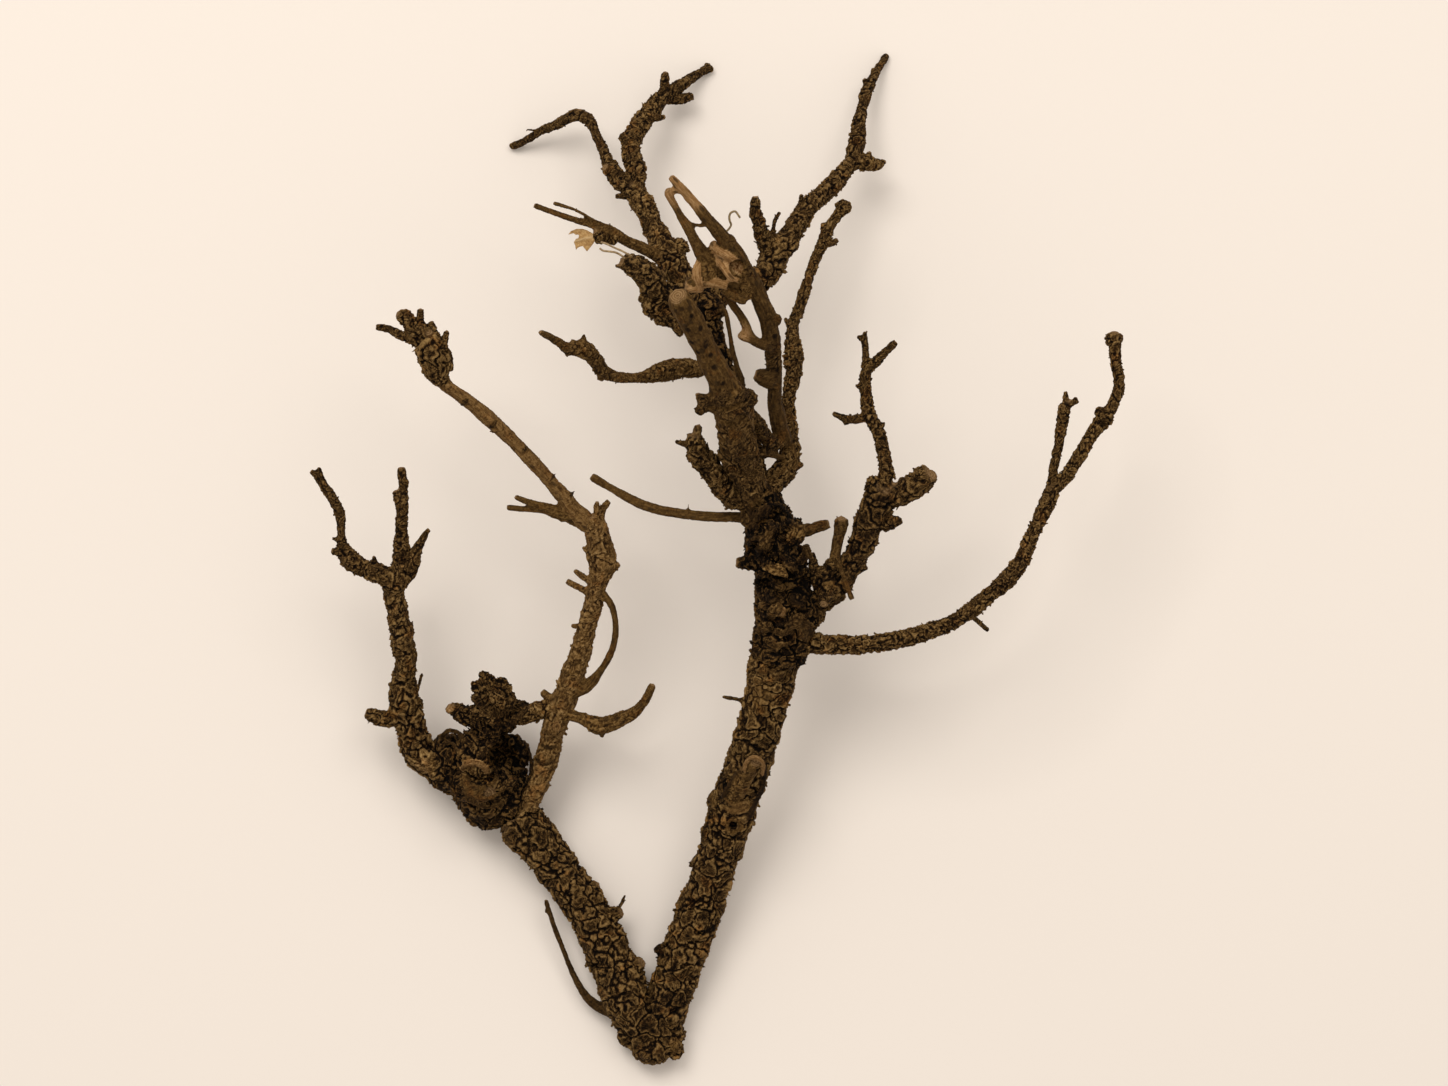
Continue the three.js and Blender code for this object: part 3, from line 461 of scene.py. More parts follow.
def grain_noise(tree, where, scale, detail, roughness=0.5, colour=False):
    field = tree.nodes.new("ShaderNodeTexNoise")
    fill(tree, field.inputs["Vector"], where)
    fill(tree, field.inputs["Scale"], scale)
    fill(tree, field.inputs["Detail"], detail)
    fill(tree, field.inputs["Roughness"], roughness)
    return field.outputs["Color"] if colour else field.outputs[0]


def cells(tree, where, scale, feature="F1"):
    field = tree.nodes.new("ShaderNodeTexVoronoi")
    field.feature = feature
    fill(tree, field.inputs["Vector"], where)
    fill(tree, field.inputs["Scale"], scale)
    return field


def ease(tree, value, low, high, bottom=0.0, top=1.0):
    step = tree.nodes.new("ShaderNodeMapRange")
    step.interpolation_type = "SMOOTHSTEP"
    names = ("Value", "From Min", "From Max", "To Min", "To Max")
    for name, given in zip(names, (value, low, high, bottom, top)):
        fill(tree, step.inputs[name], given)
    return step.outputs[0]


def named(tree, name, kind="FLOAT"):
    step = tree.nodes.new("GeometryNodeInputNamedAttribute")
    step.data_type = kind
    step.inputs["Name"].default_value = name
    return step.outputs["Attribute"]


def store(tree, geometry, name, value):
    step = tree.nodes.new("GeometryNodeStoreNamedAttribute")
    step.data_type = "FLOAT"
    step.domain = "POINT"
    step.inputs["Name"].default_value = name
    tree.links.new(geometry, step.inputs["Geometry"])
    fill(tree, step.inputs["Value"], value)
    return step.outputs["Geometry"]


def blurred(tree, value, rounds):
    step = tree.nodes.new("GeometryNodeBlurAttribute")
    step.data_type = "FLOAT"
    step.inputs["Iterations"].default_value = rounds
    fill(tree, step.inputs["Value"], value)
    return step.outputs["Value"]


def bark_plates(tree, here, size, given, ripple):
    """Height of tilted plates of one size, with cracks between them, a raised lip and curved folds,
    and how far each point is from the rim of its plate."""
    pitch = maths(tree, "DIVIDE", 1.0, size)
    plate = cells(tree, here, pitch)
    rim = cells(tree, here, pitch, "DISTANCE_TO_EDGE").outputs["Distance"]
    lean = vector_maths(tree, "SUBTRACT", plate.outputs["Color"], NO_LEAN)
    inside = vector_maths(tree, "SUBTRACT", here, plate.outputs["Position"])
    slope = vector_maths(tree, "DOT_PRODUCT", inside, lean)
    tilt = times(tree, times(tree, slope, pitch), given["Plate tilt"])
    crack = times(tree, ease(tree, rim, 0.0, 0.085), given["Crack depth"])
    open_share = ease(tree, grain_noise(tree, here, 0.22, 1.0), 0.38, 0.58, 0.35, 1.15)
    crack = times(tree, crack, open_share)
    lip = times(tree, ease(tree, rim, 0.05, 0.13), ease(tree, rim, 0.16, 0.3, 1.0, 0.0))
    lip = times(tree, lip, given["Lip height"])
    round_way = times(tree, plate.outputs["Distance"], size)
    straight_way = times(tree, slope, 3.0)
    choice = tree.nodes.new("ShaderNodeSeparateXYZ")
    fill(tree, choice.inputs[0], plate.outputs["Color"])
    choice = ease(tree, choice.outputs[0], 0.45, 0.55)
    way = plus(tree, times(tree, round_way, choice),
               times(tree, straight_way, minus(tree, 1.0, choice)))
    turns = maths(tree, "DIVIDE", plus(tree, way, ripple), given["Fold pitch"])
    fold = times(tree, wave(tree, turns, 1, 2.0), given["Fold height"])
    return plus(tree, plus(tree, tilt, crack), plus(tree, lip, fold)), rim


def hand_out(tree, wood, bark):
    """The end of a bark group: real geometry that is dressed in the bark."""
    real = tree.nodes.new("GeometryNodeRealizeInstances")
    tree.links.new(wood, real.inputs[0])
    dress = tree.nodes.new("GeometryNodeSetMaterial")
    tree.links.new(real.outputs[0], dress.inputs["Geometry"])
    fill(tree, dress.inputs["Material"], bark)
    tree.links.new(dress.outputs[0], tree.nodes.new("NodeGroupOutput").inputs[0])


def bark_relief_tree():
    """Raises the bark: plates on thick limbs, small scales on thin ones, grooves along the grain,
    wrinkles round the twigs, and a fine crumble. All in millimetres."""
    tree = bpy.data.node_groups.new("bark relief", "GeometryNodeTree")
    face = tree.interface
    face.new_socket("Wood", in_out="INPUT", socket_type="NodeSocketGeometry")
    for name, value in (
        ("Plate size", 4.8), ("Scale size", 2.5), ("Plate tilt", 1.3), ("Crack depth", 0.5),
        ("Lip height", 0.26), ("Fold pitch", 1.25), ("Fold height", 0.26), ("Groove depth", 0.18),
        ("Worm height", 0.13), ("Wrinkle height", 0.1), ("Crumble", 0.11),
    ):
        face.new_socket(name, in_out="INPUT", socket_type="NodeSocketFloat").default_value = value
    face.new_socket("Bark", in_out="INPUT", socket_type="NodeSocketMaterial")
    face.new_socket("Wood", in_out="OUTPUT", socket_type="NodeSocketGeometry")
    given = tree.nodes.new("NodeGroupInput").outputs
    here = tree.nodes.new("GeometryNodeInputPosition").outputs[0]
    normal = tree.nodes.new("GeometryNodeInputNormal").outputs[0]
    swirl = vector_maths(tree, "SUBTRACT", grain_noise(tree, here, 0.14, 1.0, 0.5, colour=True), NO_LEAN)
    curl = vector_maths(tree, "SUBTRACT", grain_noise(tree, here, 0.45, 1.0, 0.5, colour=True), NO_LEAN)
    bent = vector_maths(tree, "ADD", here, stretched(tree, swirl, 8.0))
    bent = vector_maths(tree, "ADD", bent, stretched(tree, curl, 2.6))
    ripple = times(tree, grain_noise(tree, here, 0.3, 1.0), 2.6)
    thick = blurred(tree, named(tree, "thick"), 8)
    rough = minus(tree, 1.0, blurred(tree, named(tree, "smooth"), 8))
    uncut = scaled(tree, blurred(tree, named(tree, "cut"), 2), -0.8, 1.0)
    large = ease(tree, thick, 2.2, 4.6)
    small = minus(tree, 1.0, large)
    plates, plate_rim = bark_plates(tree, bent, given["Plate size"], given, ripple)
    scales, scale_rim = bark_plates(tree, bent, given["Scale size"], given, ripple)
    plates = times(tree, plates, large)
    scales = times(tree, scales, small)
    seam = plus(tree, times(tree, plate_rim, large), times(tree, scale_rim, small))
    bold = times(tree, ease(tree, thick, 0.7, 3.4, 0.15, 1.0), scaled(tree, rough, 0.93, 0.07))
    bark = times(tree, plus(tree, plates, scales), bold)
    grain = named(tree, "grain", "FLOAT_VECTOR")
    stretch = vector_maths(tree, "MULTIPLY", grain, (0.8, 0.8, 0.13))
    groove = maths(tree, "ABSOLUTE", minus(tree, grain_noise(tree, stretch, 1.0, 2.5, 0.6), 0.5))
    groove = times(tree, ease(tree, groove, 0.0, 0.12), given["Groove depth"])
    groove = times(tree, groove, ease(tree, thick, 0.4, 2.5, 0.3, 1.0))
    worm = wave(tree, grain_noise(tree, here, 0.33, 0.6), 2.6, 1.7)
    worm = times(tree, times(tree, worm, given["Worm height"]), bold)
    bark = plus(tree, bark, worm)
    flat_way = vector_maths(tree, "MULTIPLY", grain, (0.22, 0.22, 1.1))
    wrinkle = ease(tree, grain_noise(tree, flat_way, 1.0, 2.0, 0.55), 0.42, 0.62)
    wrinkle = times(tree, wrinkle, given["Wrinkle height"])
    wrinkle = times(tree, wrinkle, scaled(tree, rough, 0.7, 0.3))
    crumble = minus(tree, grain_noise(tree, here, 1.1, 3.0, 0.62), 0.5)
    crumble = times(tree, crumble, given["Crumble"])
    crumble = times(tree, crumble, ease(tree, thick, 0.5, 3.0, 0.4, 1.0))
    crumble = times(tree, crumble, scaled(tree, rough, 0.65, 0.35))
    total = plus(tree, plus(tree, bark, groove), plus(tree, wrinkle, crumble))
    total = times(tree, total, uncut)
    level = scaled(tree, bold, 0.42, 0.22)
    shape = store(tree, given["Wood"], "seam", seam)
    shape = store(tree, shape, "relief", minus(tree, total, level))
    height = named(tree, "relief")
    # crest: how far a point stands above the bark round it. The bark finish colours by it, with painted
    # shade in the low places and painted highlight on the high ones.
    shape = store(tree, shape, "crest", minus(tree, height, blurred(tree, height, 10)))
    move = tree.nodes.new("GeometryNodeSetPosition")
    tree.links.new(shape, move.inputs["Geometry"])
    fill(tree, move.inputs["Offset"], stretched(tree, normal, height))
    hand_out(tree, move.outputs[0], given["Bark"])
    return tree


bark_relief = bark_relief_tree()


def scatter_tree():
    """Sets small pieces on the bark: turned at random, tipped up a little, and joined to it."""
    tree = bpy.data.node_groups.new("loose bark", "GeometryNodeTree")
    face = tree.interface
    face.new_socket("Wood", in_out="INPUT", socket_type="NodeSocketGeometry")
    face.new_socket("Piece", in_out="INPUT", socket_type="NodeSocketObject")
    for name, value in (
        ("Per area", 0.03), ("Smallest", 0.6), ("Largest", 1.4), ("Tip up", 0.5), ("Crest", 0.12),
        ("Sink", 0.1),
    ):
        face.new_socket(name, in_out="INPUT", socket_type="NodeSocketFloat").default_value = value
    face.new_socket("Seed", in_out="INPUT", socket_type="NodeSocketInt").default_value = 3
    face.new_socket("Bark", in_out="INPUT", socket_type="NodeSocketMaterial")
    face.new_socket("Wood", in_out="OUTPUT", socket_type="NodeSocketGeometry")
    given = tree.nodes.new("NodeGroupInput").outputs
    spots = tree.nodes.new("GeometryNodeDistributePointsOnFaces")
    tree.links.new(given["Wood"], spots.inputs["Mesh"])
    uneven = ease(tree, grain_noise(tree, None, 0.12, 1.0), 0.4, 0.6, 0.3, 1.7)
    bare = scaled(tree, named(tree, "smooth"), -0.9, 1.0)
    density = times(tree, times(tree, uneven, bare), given["Per area"])
    fill(tree, spots.inputs["Density"], density)
    fill(tree, spots.inputs["Seed"], given["Seed"])

    def chance(low, high, offset, kind="FLOAT"):
        step = tree.nodes.new("FunctionNodeRandomValue")
        step.data_type = kind
        sockets = [socket for socket in step.inputs if socket.enabled]
        fill(tree, sockets[0], low)
        fill(tree, sockets[1], high)
        fill(tree, sockets[-1], plus(tree, given["Seed"], offset))
        return [socket for socket in step.outputs if socket.enabled][0]

    angles = tree.nodes.new("ShaderNodeCombineXYZ")
    fill(tree, angles.inputs[0], times(tree, chance(-1.0, 1.0, 11.0), given["Tip up"]))
    fill(tree, angles.inputs[1], times(tree, chance(-1.0, 1.0, 12.0), given["Tip up"]))
    fill(tree, angles.inputs[2], chance(0.0, 2 * math.pi, 13.0))
    turn = tree.nodes.new("FunctionNodeEulerToRotation")
    tree.links.new(angles.outputs[0], turn.inputs[0])
    rotate = tree.nodes.new("FunctionNodeRotateRotation")
    rotate.rotation_space = "LOCAL"
    tree.links.new(spots.outputs["Rotation"], rotate.inputs["Rotation"])
    tree.links.new(turn.outputs[0], rotate.inputs["Rotate By"])
    size = chance(given["Smallest"], given["Largest"], 14.0)
    size = times(tree, size, ease(tree, named(tree, "thick"), 0.8, 3.5, 0.55, 1.0))
    shape = tree.nodes.new("GeometryNodeObjectInfo")
    fill(tree, shape.inputs["Object"], given["Piece"])
    lower = tree.nodes.new("GeometryNodeSetPosition")
    tree.links.new(spots.outputs["Points"], lower.inputs["Geometry"])
    inward = stretched(tree, spots.outputs["Normal"], times(tree, given["Sink"], -1.0))
    fill(tree, lower.inputs["Offset"], inward)
    crested = store(tree, lower.outputs[0], "crest", given["Crest"])
    set_out = tree.nodes.new("GeometryNodeInstanceOnPoints")
    tree.links.new(crested, set_out.inputs["Points"])
    tree.links.new(shape.outputs["Geometry"], set_out.inputs["Instance"])
    tree.links.new(rotate.outputs[0], set_out.inputs["Rotation"])
    stretch = tree.nodes.new("ShaderNodeCombineXYZ")
    fill(tree, stretch.inputs[0], times(tree, size, chance(0.8, 1.5, 15.0)))
    fill(tree, stretch.inputs[1], times(tree, size, chance(0.6, 1.1, 16.0)))
    fill(tree, stretch.inputs[2], size)
    tree.links.new(stretch.outputs[0], set_out.inputs["Scale"])
    both = tree.nodes.new("GeometryNodeJoinGeometry")
    tree.links.new(set_out.outputs[0], both.inputs[0])
    tree.links.new(given["Wood"], both.inputs[0])
    hand_out(tree, both.outputs[0], given["Bark"])
    return tree


loose_bark = scatter_tree()


def bark_flake():
    """A curled flake of bark, a millimetre long."""
    columns, rows = 5, 3
    points, faces = [], []
    for side in (0, 1):
        for i in range(columns):
            for j in range(rows):
                x, y = i / (columns - 1) - 0.5, j / (rows - 1) - 0.5
                ragged = 0.1 * math.sin(5.0 * i + 3.0 * j)
                curl = 0.75 * x * x + 0.2 * y * y
                points.append((x * 1.1 + ragged * 0.4, y * (0.7 - 0.5 * abs(x)) + ragged * 0.3,
                               curl + side * 0.2 * (1.1 - abs(x))))
    base = columns * rows
    for i in range(columns - 1):
        for j in range(rows - 1):
            a, b = i * rows + j, (i + 1) * rows + j
            faces += [(a, a + 1, b + 1, b), (base + a, base + b, base + b + 1, base + a + 1)]
    ring = [j for j in range(rows)] + [i * rows + rows - 1 for i in range(1, columns)]
    ring += [(columns - 1) * rows + j for j in range(rows - 2, -1, -1)]
    ring += [i * rows for i in range(columns - 2, 0, -1)]
    for a, b in zip(ring, ring[1:] + ring[:1]):
        faces.append((a, base + a, base + b, b))
    return points, faces


def bud():
    """A blunt bud or broken spur, a millimetre high."""
    sides = 6
    levels = ((0.55, -0.3), (0.5, 0.25), (0.36, 0.7), (0.3, 1.0))
    points = [(r * math.cos(k * math.pi / 3) + 0.12 * z, r * math.sin(k * math.pi / 3), z)
              for r, z in levels for k in range(sides)]
    faces = [tuple(range(sides - 1, -1, -1)), tuple(range(len(points) - sides, len(points)))]
    for level in range(len(levels) - 1):
        for k in range(sides):
            a, b = level * sides + k, level * sides + (k + 1) % sides
            faces.append((a, b, b + sides, a + sides))
    return points, faces


def small_shape(name, made):
    mesh = bpy.data.meshes.new(name)
    mesh.from_pydata(made[0], [], made[1])
    return bpy.data.objects.new(name, mesh)


flake_shape = small_shape("flake", bark_flake())
bud_shape = small_shape("bud", bud())


def attribute(tree, name, output="Fac"):
    step = tree.nodes.new("ShaderNodeAttribute")
    step.attribute_name = name
    return step.outputs[output]


def ramp(tree, value, stops):
    step = tree.nodes.new("ShaderNodeValToRGB")
    fill(tree, step.inputs[0], value)
    band = step.color_ramp
    while len(band.elements) < len(stops):
        band.elements.new(0.5)
    for element, (where, colour) in zip(band.elements, stops):
        element.position = where
        element.color = (*colour, 1.0)
    return step.outputs[0]


def blend(tree, share, a, b, kind="MIX"):
    step = tree.nodes.new("ShaderNodeMix")
    step.data_type = "RGBA"
    step.blend_type = kind
    fill(tree, step.inputs["Factor"], share)
    colours = [socket for socket in step.inputs if socket.type == "RGBA"]
    for socket, value in zip(colours, (a, b)):
        fill(tree, socket, value if isinstance(value, bpy.types.NodeSocket) else (*value, 1.0))
    return [socket for socket in step.outputs if socket.type == "RGBA"][0]


def new_finish(name):
    """A bare material with its node tree, its shader and the place of a point in millimetres."""
    finish = bpy.data.materials.new(name)
    finish.use_nodes = True
    tree = finish.node_tree
    where = tree.nodes.new("ShaderNodeTexCoord").outputs["Object"]
    return finish, tree, tree.nodes["Principled BSDF"], stretched(tree, where, 1 / METRE)


def raised(tree, shader, height, strength, distance):
    bump = tree.nodes.new("ShaderNodeBump")
    bump.inputs["Strength"].default_value = strength
    bump.inputs["Distance"].default_value = distance * METRE
    tree.links.new(height, bump.inputs["Height"])
    tree.links.new(bump.outputs["Normal"], shader.inputs["Normal"])


def weathered_bark(name):
    """Old bark: black cracks, brown flanks and tan worn crests, with paler wood at broken ends. The black
    in the cracks is partly painted shade, and the tan of the crests and lips is partly painted highlight.
    """
    bark, tree, shader, here = new_finish(name)
    grain = attribute(tree, "grain", "Vector")
    relief = attribute(tree, "relief")
    crest = attribute(tree, "crest")
    tone = attribute(tree, "tone")
    smooth = attribute(tree, "smooth")
    cut = attribute(tree, "cut")
    dots = cells(tree, vector_maths(tree, "MULTIPLY", grain, (0.38, 0.38, 0.2)), 1.0).outputs["Distance"]
    spots = ease(tree, dots, 0.17, 0.32)
    fine = grain_noise(tree, here, 1.7, 4.0, 0.7)
    patch = grain_noise(tree, here, 0.13, 3.0, 0.6)
    fibre = grain_noise(tree, vector_maths(tree, "MULTIPLY", grain, (2.6, 2.6, 0.35)), 1.0, 3.0, 0.65)
    curl = stretched(tree, grain_noise(tree, here, 0.7, 2.0, 0.5, True), 1.2)
    bent = vector_maths(tree, "ADD", here, curl)
    crack = ease(tree, cells(tree, bent, 0.75, "DISTANCE_TO_EDGE").outputs["Distance"], 0.0, 0.12)
    rough = scaled(tree, smooth, -1.0, 1.0)
    # The colour follows the relief, from black in the low places to tan on the crests. This is partly the
    # bark's own colour, and partly painted shade in the cracks and hollows and painted highlight on the
    # crests.
    height = scaled(tree, crest, 0.85, 0.42)
    height = plus(tree, height, times(tree, relief, 0.2))
    speckle = times(tree, minus(tree, fine, 0.5), scaled(tree, rough, 0.18, 0.16))
    streak = times(tree, minus(tree, fibre, 0.5), scaled(tree, rough, -0.05, 0.4))
    # This darkens the bark along thin crack lines: painted shade in the cracks.
    split_shade = times(tree, minus(tree, 1.0, crack), times(tree, rough, 0.1))
    height = plus(tree, height, plus(tree, speckle, streak))
    swirl = wave(tree, grain_noise(tree, here, 0.28, 0.8), 12, 2.0)
    line = times(tree, minus(tree, swirl, 0.4), times(tree, rough, 0.3))
    height = plus(tree, height, line)
    # Plate rims: the lips beside them are made lighter, partly painted highlight, and the seams in them are
    # made darker, partly painted shade.
    seam = attribute(tree, "seam")
    lip = times(tree, ease(tree, seam, 0.06, 0.11), ease(tree, seam, 0.13, 0.2, 1.0, 0.0))
    height = plus(tree, height, times(tree, lip, times(tree, rough, 0.18)))
    seam = times(tree, minus(tree, 1.0, ease(tree, seam, 0.015, 0.075)), rough)
    height = minus(tree, height, times(tree, seam, 0.17))
    height = minus(tree, height, split_shade, clamp=True)
    dark = ramp(tree, height, (
        (0.05, (0.000776, 0.000275, 4.81e-05)), (0.28, (0.00543, 0.0022, 0.000337)),
        (0.45, (0.0163, 0.00723, 0.00144)), (0.65, (0.0427, 0.0206, 0.00457)),
        (0.95, (0.132, 0.0702, 0.0193)),
    ))
    light = ramp(tree, height, (
        (0.05, (0.00776, 0.0031, 0.000481)), (0.28, (0.045, 0.0213, 0.00457)),
        (0.45, (0.11, 0.0585, 0.0159)), (0.65, (0.198, 0.114, 0.0375)), (0.95, (0.357, 0.227, 0.0867)),
    ))
    share = plus(tree, tone, times(tree, minus(tree, patch, 0.5), 0.9), clamp=True)
    skin = blend(tree, share, dark, light)
    # Where the tone is below zero the bark turns near black, most of all in its low relief. This is dark
    # wood, with painted shade in its cracks and hollows.
    shade = ease(tree, tone, -1.0, 0.0, 0.06, 1.0)
    dark_wood_and_crevice_shade = times(tree, minus(tree, 1.0, shade), ease(tree, height, 0.32, 0.75, 1.0, 0.35))
    skin = blend(tree, dark_wood_and_crevice_shade, skin, (0.0015, 0.0008, 0.0003))
    rust = ease(tree, grain_noise(tree, here, 0.21, 2.0, 0.6), 0.56, 0.68, 0.0, 0.6)
    skin = blend(tree, rust, skin, (1.2, 0.92, 0.6), "MULTIPLY")
    bare = ramp(tree, plus(tree, times(tree, fibre, 0.6), times(tree, height, 0.6)), (
        (0.3, (0.10, 0.045, 0.013)), (0.5, (0.24, 0.125, 0.045)), (0.72, (0.42, 0.26, 0.12)),
    ))
    skin = blend(tree, ease(tree, tone, 1.0, 1.5), skin, bare)
    spotted = times(tree, minus(tree, 1.0, spots), times(tree, smooth, 0.75))
    skin = blend(tree, spotted, skin, (0.02, 0.011, 0.004))
    rings = attribute(tree, "ring")
    rings = plus(tree, times(tree, rings, 9.0), times(tree, fine, 5.0))
    rings = scaled(tree, maths(tree, "SINE", rings), 0.5, 0.5)
    wood = ramp(tree, scaled(tree, fine, 0.6, times(tree, rings, 0.3)), (
        (0.15, (0.07, 0.035, 0.012)), (0.45, (0.2, 0.115, 0.048)), (0.8, (0.42, 0.27, 0.13)),
    ))
    colour = blend(tree, times(tree, cut, 0.85), skin, wood)
    tree.links.new(colour, shader.inputs["Base Color"])
    tree.links.new(ease(tree, height, 0.1, 0.9, 0.95, 0.7), shader.inputs["Roughness"])
    shader.inputs["Specular IOR Level"].default_value = 0.1
    bumps = plus(tree, times(tree, fine, 0.55), times(tree, fibre, 0.35))
    bumps = plus(tree, bumps, times(tree, crack, 0.22))
    bumps = plus(tree, bumps, times(tree, line, 3.0))
    raised(tree, shader, bumps, 0.7, 0.25)
    bark.diffuse_color = (0.2, 0.13, 0.07, 1.0)
    return bark


old_bark = weathered_bark("weathered_bark")


TABLE_GAP = 0.02


def lay_flat(mesh):
    """Lays a mesh on the table, so that nothing sinks in, and turns its millimetres to metres."""
    points = vertices(mesh)
    points[:, 2] = np.maximum(points[:, 2], TABLE_GAP)
    mesh.vertices.foreach_set("co", np.ascontiguousarray(points * METRE, dtype=np.float32).ravel())
    mesh.update()
    mesh.polygons.foreach_set("use_smooth", [True] * len(mesh.polygons))


def set_input(modifier, name, value):
    for item in modifier.node_group.interface.items_tree:
        if item.item_type == "SOCKET" and item.in_out == "INPUT" and item.name == name:
            modifier[item.identifier] = value


def set_on(piece, shape, sizes):
    """Scatters one small shape over the bark of a piece."""
    loose = piece.modifiers.new("loose", "NODES")
    loose.node_group = loose_bark
    set_input(loose, "Piece", shape)
    set_input(loose, "Bark", old_bark)
    for size, value in sizes.items():
        set_input(loose, size, value)


FLAKE_SMALLEST, FLAKE_LARGEST = 0.9, 1.9
FLAKES = {"Tip up": 0.55, "Crest": 0.05, "Seed": 5}
BUDS = {
    "Per area": 0.012, "Smallest": 0.5, "Largest": 1.0, "Tip up": 0.5, "Crest": 0.05, "Sink": 0.15,
    "Seed": 9,
}


def grow_wood(name, wood, nodes, cell=0.42, hollows=(), patches=(), flakes=0.022, flake_size=1.0):
    """One piece of driftwood from its strands: fused, barked and laid on the table."""
    piece = fused(name, wood, cell, hollows)
    trace_grain(piece.data, wood, patches)
    relief = piece.modifiers.new("bark", "NODES")
    relief.node_group = bark_relief
    set_input(relief, "Bark", old_bark)
    set_on(piece, flake_shape, {
        "Per area": flakes, "Smallest": FLAKE_SMALLEST * flake_size, "Largest": FLAKE_LARGEST * flake_size,
        **FLAKES,
    })
    set_on(piece, bud_shape, BUDS)
    lay_flat(plain_mesh(piece))
    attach(piece, "root")
    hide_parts(*nodes)


fork = limb(
    route=[
        [2.8, -3.2, 5, 4.6], [2.8, 2.5, 5.4, 6.2], [3.8, 8, 6, 6.8], [6, 14.5, 6.5, 6.9],
        [8.2, 21.5, 7.5, 6.8], [11.6, 32, 9.5, 6.8], [15.6, 42.5, 12.3, 6.7], [18.4, 50.5, 14.5, 6.5],
        [21.2, 59, 17.5, 6.6], [24.4, 68.5, 20.8, 6.9], [27, 77, 24, 7.1], [30.6, 87.5, 28, 6.9],
        [33.4, 97.5, 32, 6.6], [35.4, 107, 36, 6.6], [37, 115, 39.5, 7.2], [38.6, 122, 42, 7.1],
    ],
    stubs=[
        [[31, 104, 33, 1], [28, 105, 34, 0.9], [21.7, 106.2, 36, 0.8]],
    ],
    knots=[
        [0.8, 0.6, 5, 6.6], [8, 3, 7, 3.2], [7.5, -1.5, 6, 3], [20, 74.5, 22, 2.6], [2.9, 29, 10, 1.9],
        [24, 75.5, 29, 2.7],
    ],
)
fork += limb(
    route=[
        [-0.5, 0.5, 5.6, 4.8], [-3.4, 5.5, 6.2, 6.1], [-6.8, 13.5, 6.7, 6.9], [-10.5, 23.5, 7, 6.8],
        [-14.5, 32, 7.2, 6.4], [-19.5, 42, 7.5, 6.4], [-26, 51, 8, 6.3], [-31.7, 58.2, 9, 6.3],
        [-37.2, 65, 10.5, 6.9], [-42.2, 70.6, 12, 7.2],
    ],
    stubs=[
        [[-20, 47, 8, 1.8], [-15.6, 49.2, 9.5, 1.6]],
        [[-15, 38.5, 8, 2.6], [-8.4, 40.6, 10, 2.2]],
        [[-9.8, 40.5, 10, 0.8], [-7.6, 45.8, 12, 0.7]],
        [[-8, 22, 8, 2.6], [-2, 25.6, 11, 2.3]],
    ],
    knots=[[-7, 2, 5.5, 2.7]],
)
fork += limb(
    route=[
        [-9, 9, 6, 2], [-14.3, 10.7, 5, 1.7], [-19, 14, 4.5, 1.5], [-22, 18.6, 4.6, 1.2],
        [-25.3, 25.9, 5.2, 1], [-28, 32.6, 6, 1], [-30.2, 38.7, 7.5, 1], [-32, 44.5, 9, 1],
    ],
    stubs=[[[-31, 41, 8, 0.8], [-32.5, 40.5, 8.5, 0.7]]],
    smooth=0.7,
)
fork += limb(
    route=[[23.5, 72, 24, 2.4], [27, 78.5, 33, 2.7], [30, 83.5, 38.5, 2.6], [32.4, 86.8, 42.5, 2.4]],
    tone=0.82, smooth=0.6,
)
fork += [vein(fork, ridge, tone, 0.75) for tone, ridge in (
    (1.25, [[28.4, 83.6, 0.2, 0.8], [29.6, 86.6, 0.4, 0.95], [32, 87.8, 0.5, 0.95],
        [34.2, 86.3, 0.4, 0.95], [34.2, 82, 0.2, 0.8]]),
    (0.1, [[34.8, 84.5, 0.4, 1], [34.2, 79.3, 0.5, 1.1], [32, 73.8, 0.4, 1], [29.9, 69.2, 0.2, 0.8]]),
    (0.2, [[26.8, 83.3, 0.3, 0.8], [24.4, 79.3, 0.4, 1], [22, 75.3, 0.3, 0.9]]),
    (1.1, [[22.6, 75, 0.5, 0.5], [25.3, 72.9, 0.7, 0.6], [29, 73.8, 0.5, 0.5]]),
    (1.1, [[22.3, 72.6, 0.4, 0.45], [25.6, 70.8, 0.5, 0.55], [29.3, 72.3, 0.4, 0.45]]),
    (0.7, [[19.5, 77.8, 0.3, 0.7], [18.3, 75.3, 0.4, 1], [19.8, 73.5, 0.2, 0.8]]),
    (0.9, [[23.5, 66.8, 0.4, 0.5], [25.3, 68.6, 0.5, 0.6], [27.4, 67.1, 0.5, 0.6],
        [25.9, 64.7, 0.4, 0.55], [23.5, 66.2, 0.4, 0.5]]),
    (0.8, [[33.9, 120.5, 0.1, 0.7], [36.9, 119.9, 0.3, 0.9], [40.6, 120.8, 0.1, 0.6]]),
    (0.75, [[34.5, 117.4, 0.1, 0.6], [37.2, 116.8, 0.2, 0.8], [40, 117.1, 0.1, 0.6]]),
    (0.6, [[30.5, 114.7, 0.1, 0.5], [35.1, 113.5, 0.2, 0.6], [40.3, 115, 0.1, 0.5]]),
    (0.6, [[30.2, 111.9, 0.1, 0.5], [35.1, 110.7, 0.2, 0.6], [40.3, 112.2, 0.1, 0.5]]),
    (0.75, [[32, 123.5, 0.1, 0.5], [33.5, 119.9, 0.2, 0.7], [32.6, 116.2, 0.1, 0.5]]),
    (1.3, [[6.7, 0.9, 0.5, 1], [7.9, -0.9, 0.8, 1.3], [7.6, -2.7, 0.4, 0.9]]),
)]
